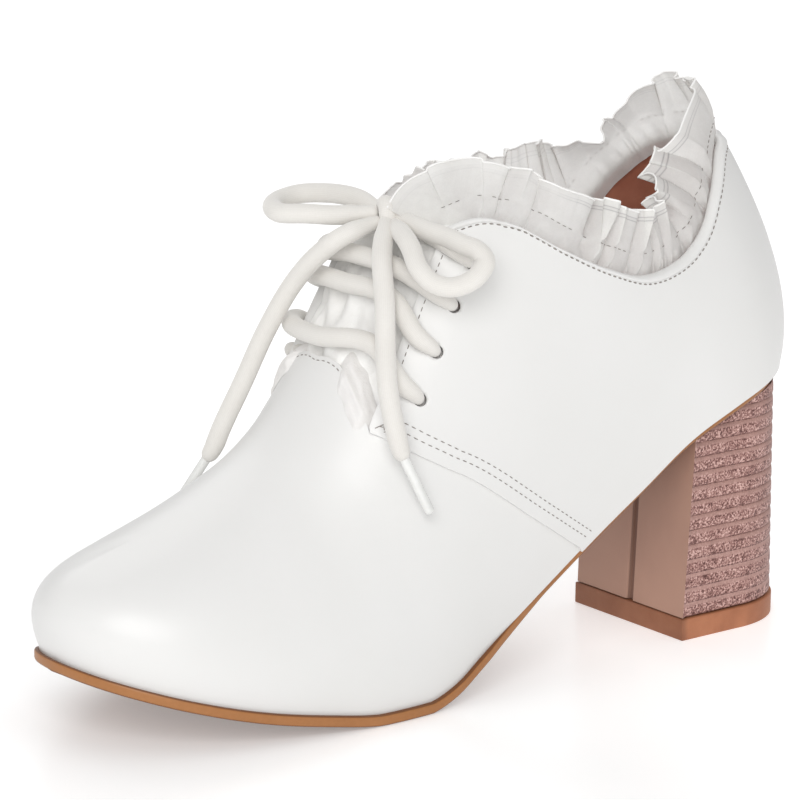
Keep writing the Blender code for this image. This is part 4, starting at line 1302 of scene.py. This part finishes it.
def heel_breast():
    paint = Paint("heel_breast", Specular_IOR_Level=0.4)
    soft = paint.noise(paint.place(), 45.0, 3.0)
    fine = paint.noise(paint.place(), 1200.0)
    colour = paint.ramp(soft, (0.3, (0.415, 0.24, 0.18)), (0.7, (0.46, 0.27, 0.20)))
    # Painted shade: the breast is darker inside the groove down its middle.
    middle = at_metres((0.0, 0.0, 0.0))[1]
    beside = paint.single("ABSOLUTE", (paint.axis("Y") - middle) * 500.0)   # half millimetres
    shade = paint.ramp(beside, (GROOVE_WIDTH / 4, (0.50, 0.45, 0.42)), (GROOVE_WIDTH / 4 + 0.08, WHITE))
    return paint.feed(Base_Color=paint.times(colour, shade), Roughness=fine * 0.12 + 0.36,
                      Normal=paint.bump(fine, 0.08, 0.0001))


form = bent_grid(260, ribs * RIB_ROWS, heel_place)
front = bent_grid(120, 40, breast_place)
for face in front.faces:
    face.material_index = 1
mesh = bpy.data.meshes.new("heel_breast_part")
front.to_mesh(mesh)
front.free()
form.from_mesh(mesh)
bpy.data.meshes.remove(mesh)
bmesh.ops.remove_doubles(form, verts=form.verts, dist=2e-5)
bmesh.ops.dissolve_degenerate(form, dist=1e-6, edges=form.edges)
heel = add_piece("heel_block", form, heel_ribs(), heel_breast())
heel.data.set_sharp_from_angle(angle=math.radians(50))
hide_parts("heel_block")

# %% Top lift


def lift_rubber():
    paint = Paint("lift_rubber", Specular_IOR_Level=0.35)
    where = paint.place()
    soft = paint.noise(where, 120.0, 4.0)
    fine = paint.noise(where, 1600.0)
    colour = paint.ramp(soft, (0.3, (0.36, 0.135, 0.065)), (0.7, (0.47, 0.19, 0.095)))
    # Painted shade: the lift's front face is darker, as it lies in the arch's shade.
    front = at_metres((HEEL_FRONT, 0.0, 0.0))[0]
    lit = paint.between(paint.axis("X"), front, front + 0.002)
    shade = paint.ramp(lit, (0.0, (0.68, 0.70, 0.74)), (1.0, WHITE))
    return paint.feed(Base_Color=paint.times(colour, shade), Roughness=fine * 0.2 + 0.45,
                      Normal=paint.bump(fine, 0.2, 0.0001))


outline = heel_side(np.linspace(0, 1, 121), LIFT, LIFT_MARGIN)
form = bmesh.new()
bmesh.ops.create_circle(form, cap_ends=True, segments=len(outline), radius=1.0)
for vert, (x, y) in zip(form.verts, outline):
    vert.co = at_metres((x, y, 0.0))
raised = bmesh.ops.extrude_face_region(form, geom=form.faces[:])
upper_verts = [part for part in raised["geom"] if isinstance(part, bmesh.types.BMVert)]
bmesh.ops.translate(form, vec=(0, 0, LIFT * MM), verts=upper_verts)
bmesh.ops.recalc_face_normals(form, faces=form.faces)
sharp = [edge for edge in form.edges if edge.is_manifold and edge.calc_face_angle() > math.radians(50)]
bmesh.ops.bevel(form, geom=sharp, offset=0.35 * MM, affect="EDGES", segments=3, profile=0.5, material=-1)
lift = add_piece("heel_top_lift", form, lift_rubber())
lift.data.set_sharp_from_angle(angle=math.radians(40))
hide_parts("heel_top_lift")

# %% [markdown]
# ## Floor and light
# The shoe stands on a white table in even studio light. A large soft lamp from the upper left, a
# weaker one from behind and a bright surround leave only soft shadows. The table glows a little, as
# painted light, more so under the heel, which lightens the shadows there and keeps it white.

# %% Floor and light


def white_floor():
    paint = Paint("white_floor", Specular_IOR_Level=0.3, Emission_Strength=1.0)
    soft = paint.noise(paint.place(), 3.0)
    # Painted light: the table's glow grows towards the heel, which lightens the shadow under the arch.
    heelwards = paint.between(paint.axis("X"), -0.03, 0.05)
    return paint.feed(Base_Color=paint.ramp(soft, (0.3, (0.90,) * 3), (0.7, (0.92,) * 3)),
                      Roughness=soft * 0.05 + 0.22,
                      Emission_Color=paint.ramp(heelwards, (0.0, (0.25,) * 3), (1.0, (0.42,) * 3)))


form = bmesh.new()
bmesh.ops.create_grid(form, x_segments=8, y_segments=8, size=4.0)
mesh = bpy.data.meshes.new("floor")
form.to_mesh(mesh)
form.free()
mesh.materials.append(white_floor())
floor = add_object("floor", mesh)

# Name, place and size in metres, and power in watts.
LAMPS = (("key", (-1.15, -1.25, 1.0), 1.4, 20.0), ("back", (0.3, 1.2, 1.2), 1.4, 6.0))
for name, place, size, power in LAMPS:
    data = bpy.data.lights.new(name, "AREA")
    data.shape = "DISK"
    data.size = size
    data.energy = power
    lamp = add_object(name, data)
    lamp.location = place
    lamp.rotation_euler = (Vector((0, 0, 0.06)) - lamp.location).to_track_quat("-Z", "Y").to_euler()
world = bpy.data.worlds.new("studio")
world.use_nodes = True
surround = world.node_tree.nodes["Background"].inputs
surround["Color"].default_value = (*WHITE, 1.0)
surround["Strength"].default_value = 0.55
bpy.context.scene.world = world
bpy.context.scene.view_settings.view_transform = "Standard"
print("lamps:", [lamp[0] for lamp in LAMPS])
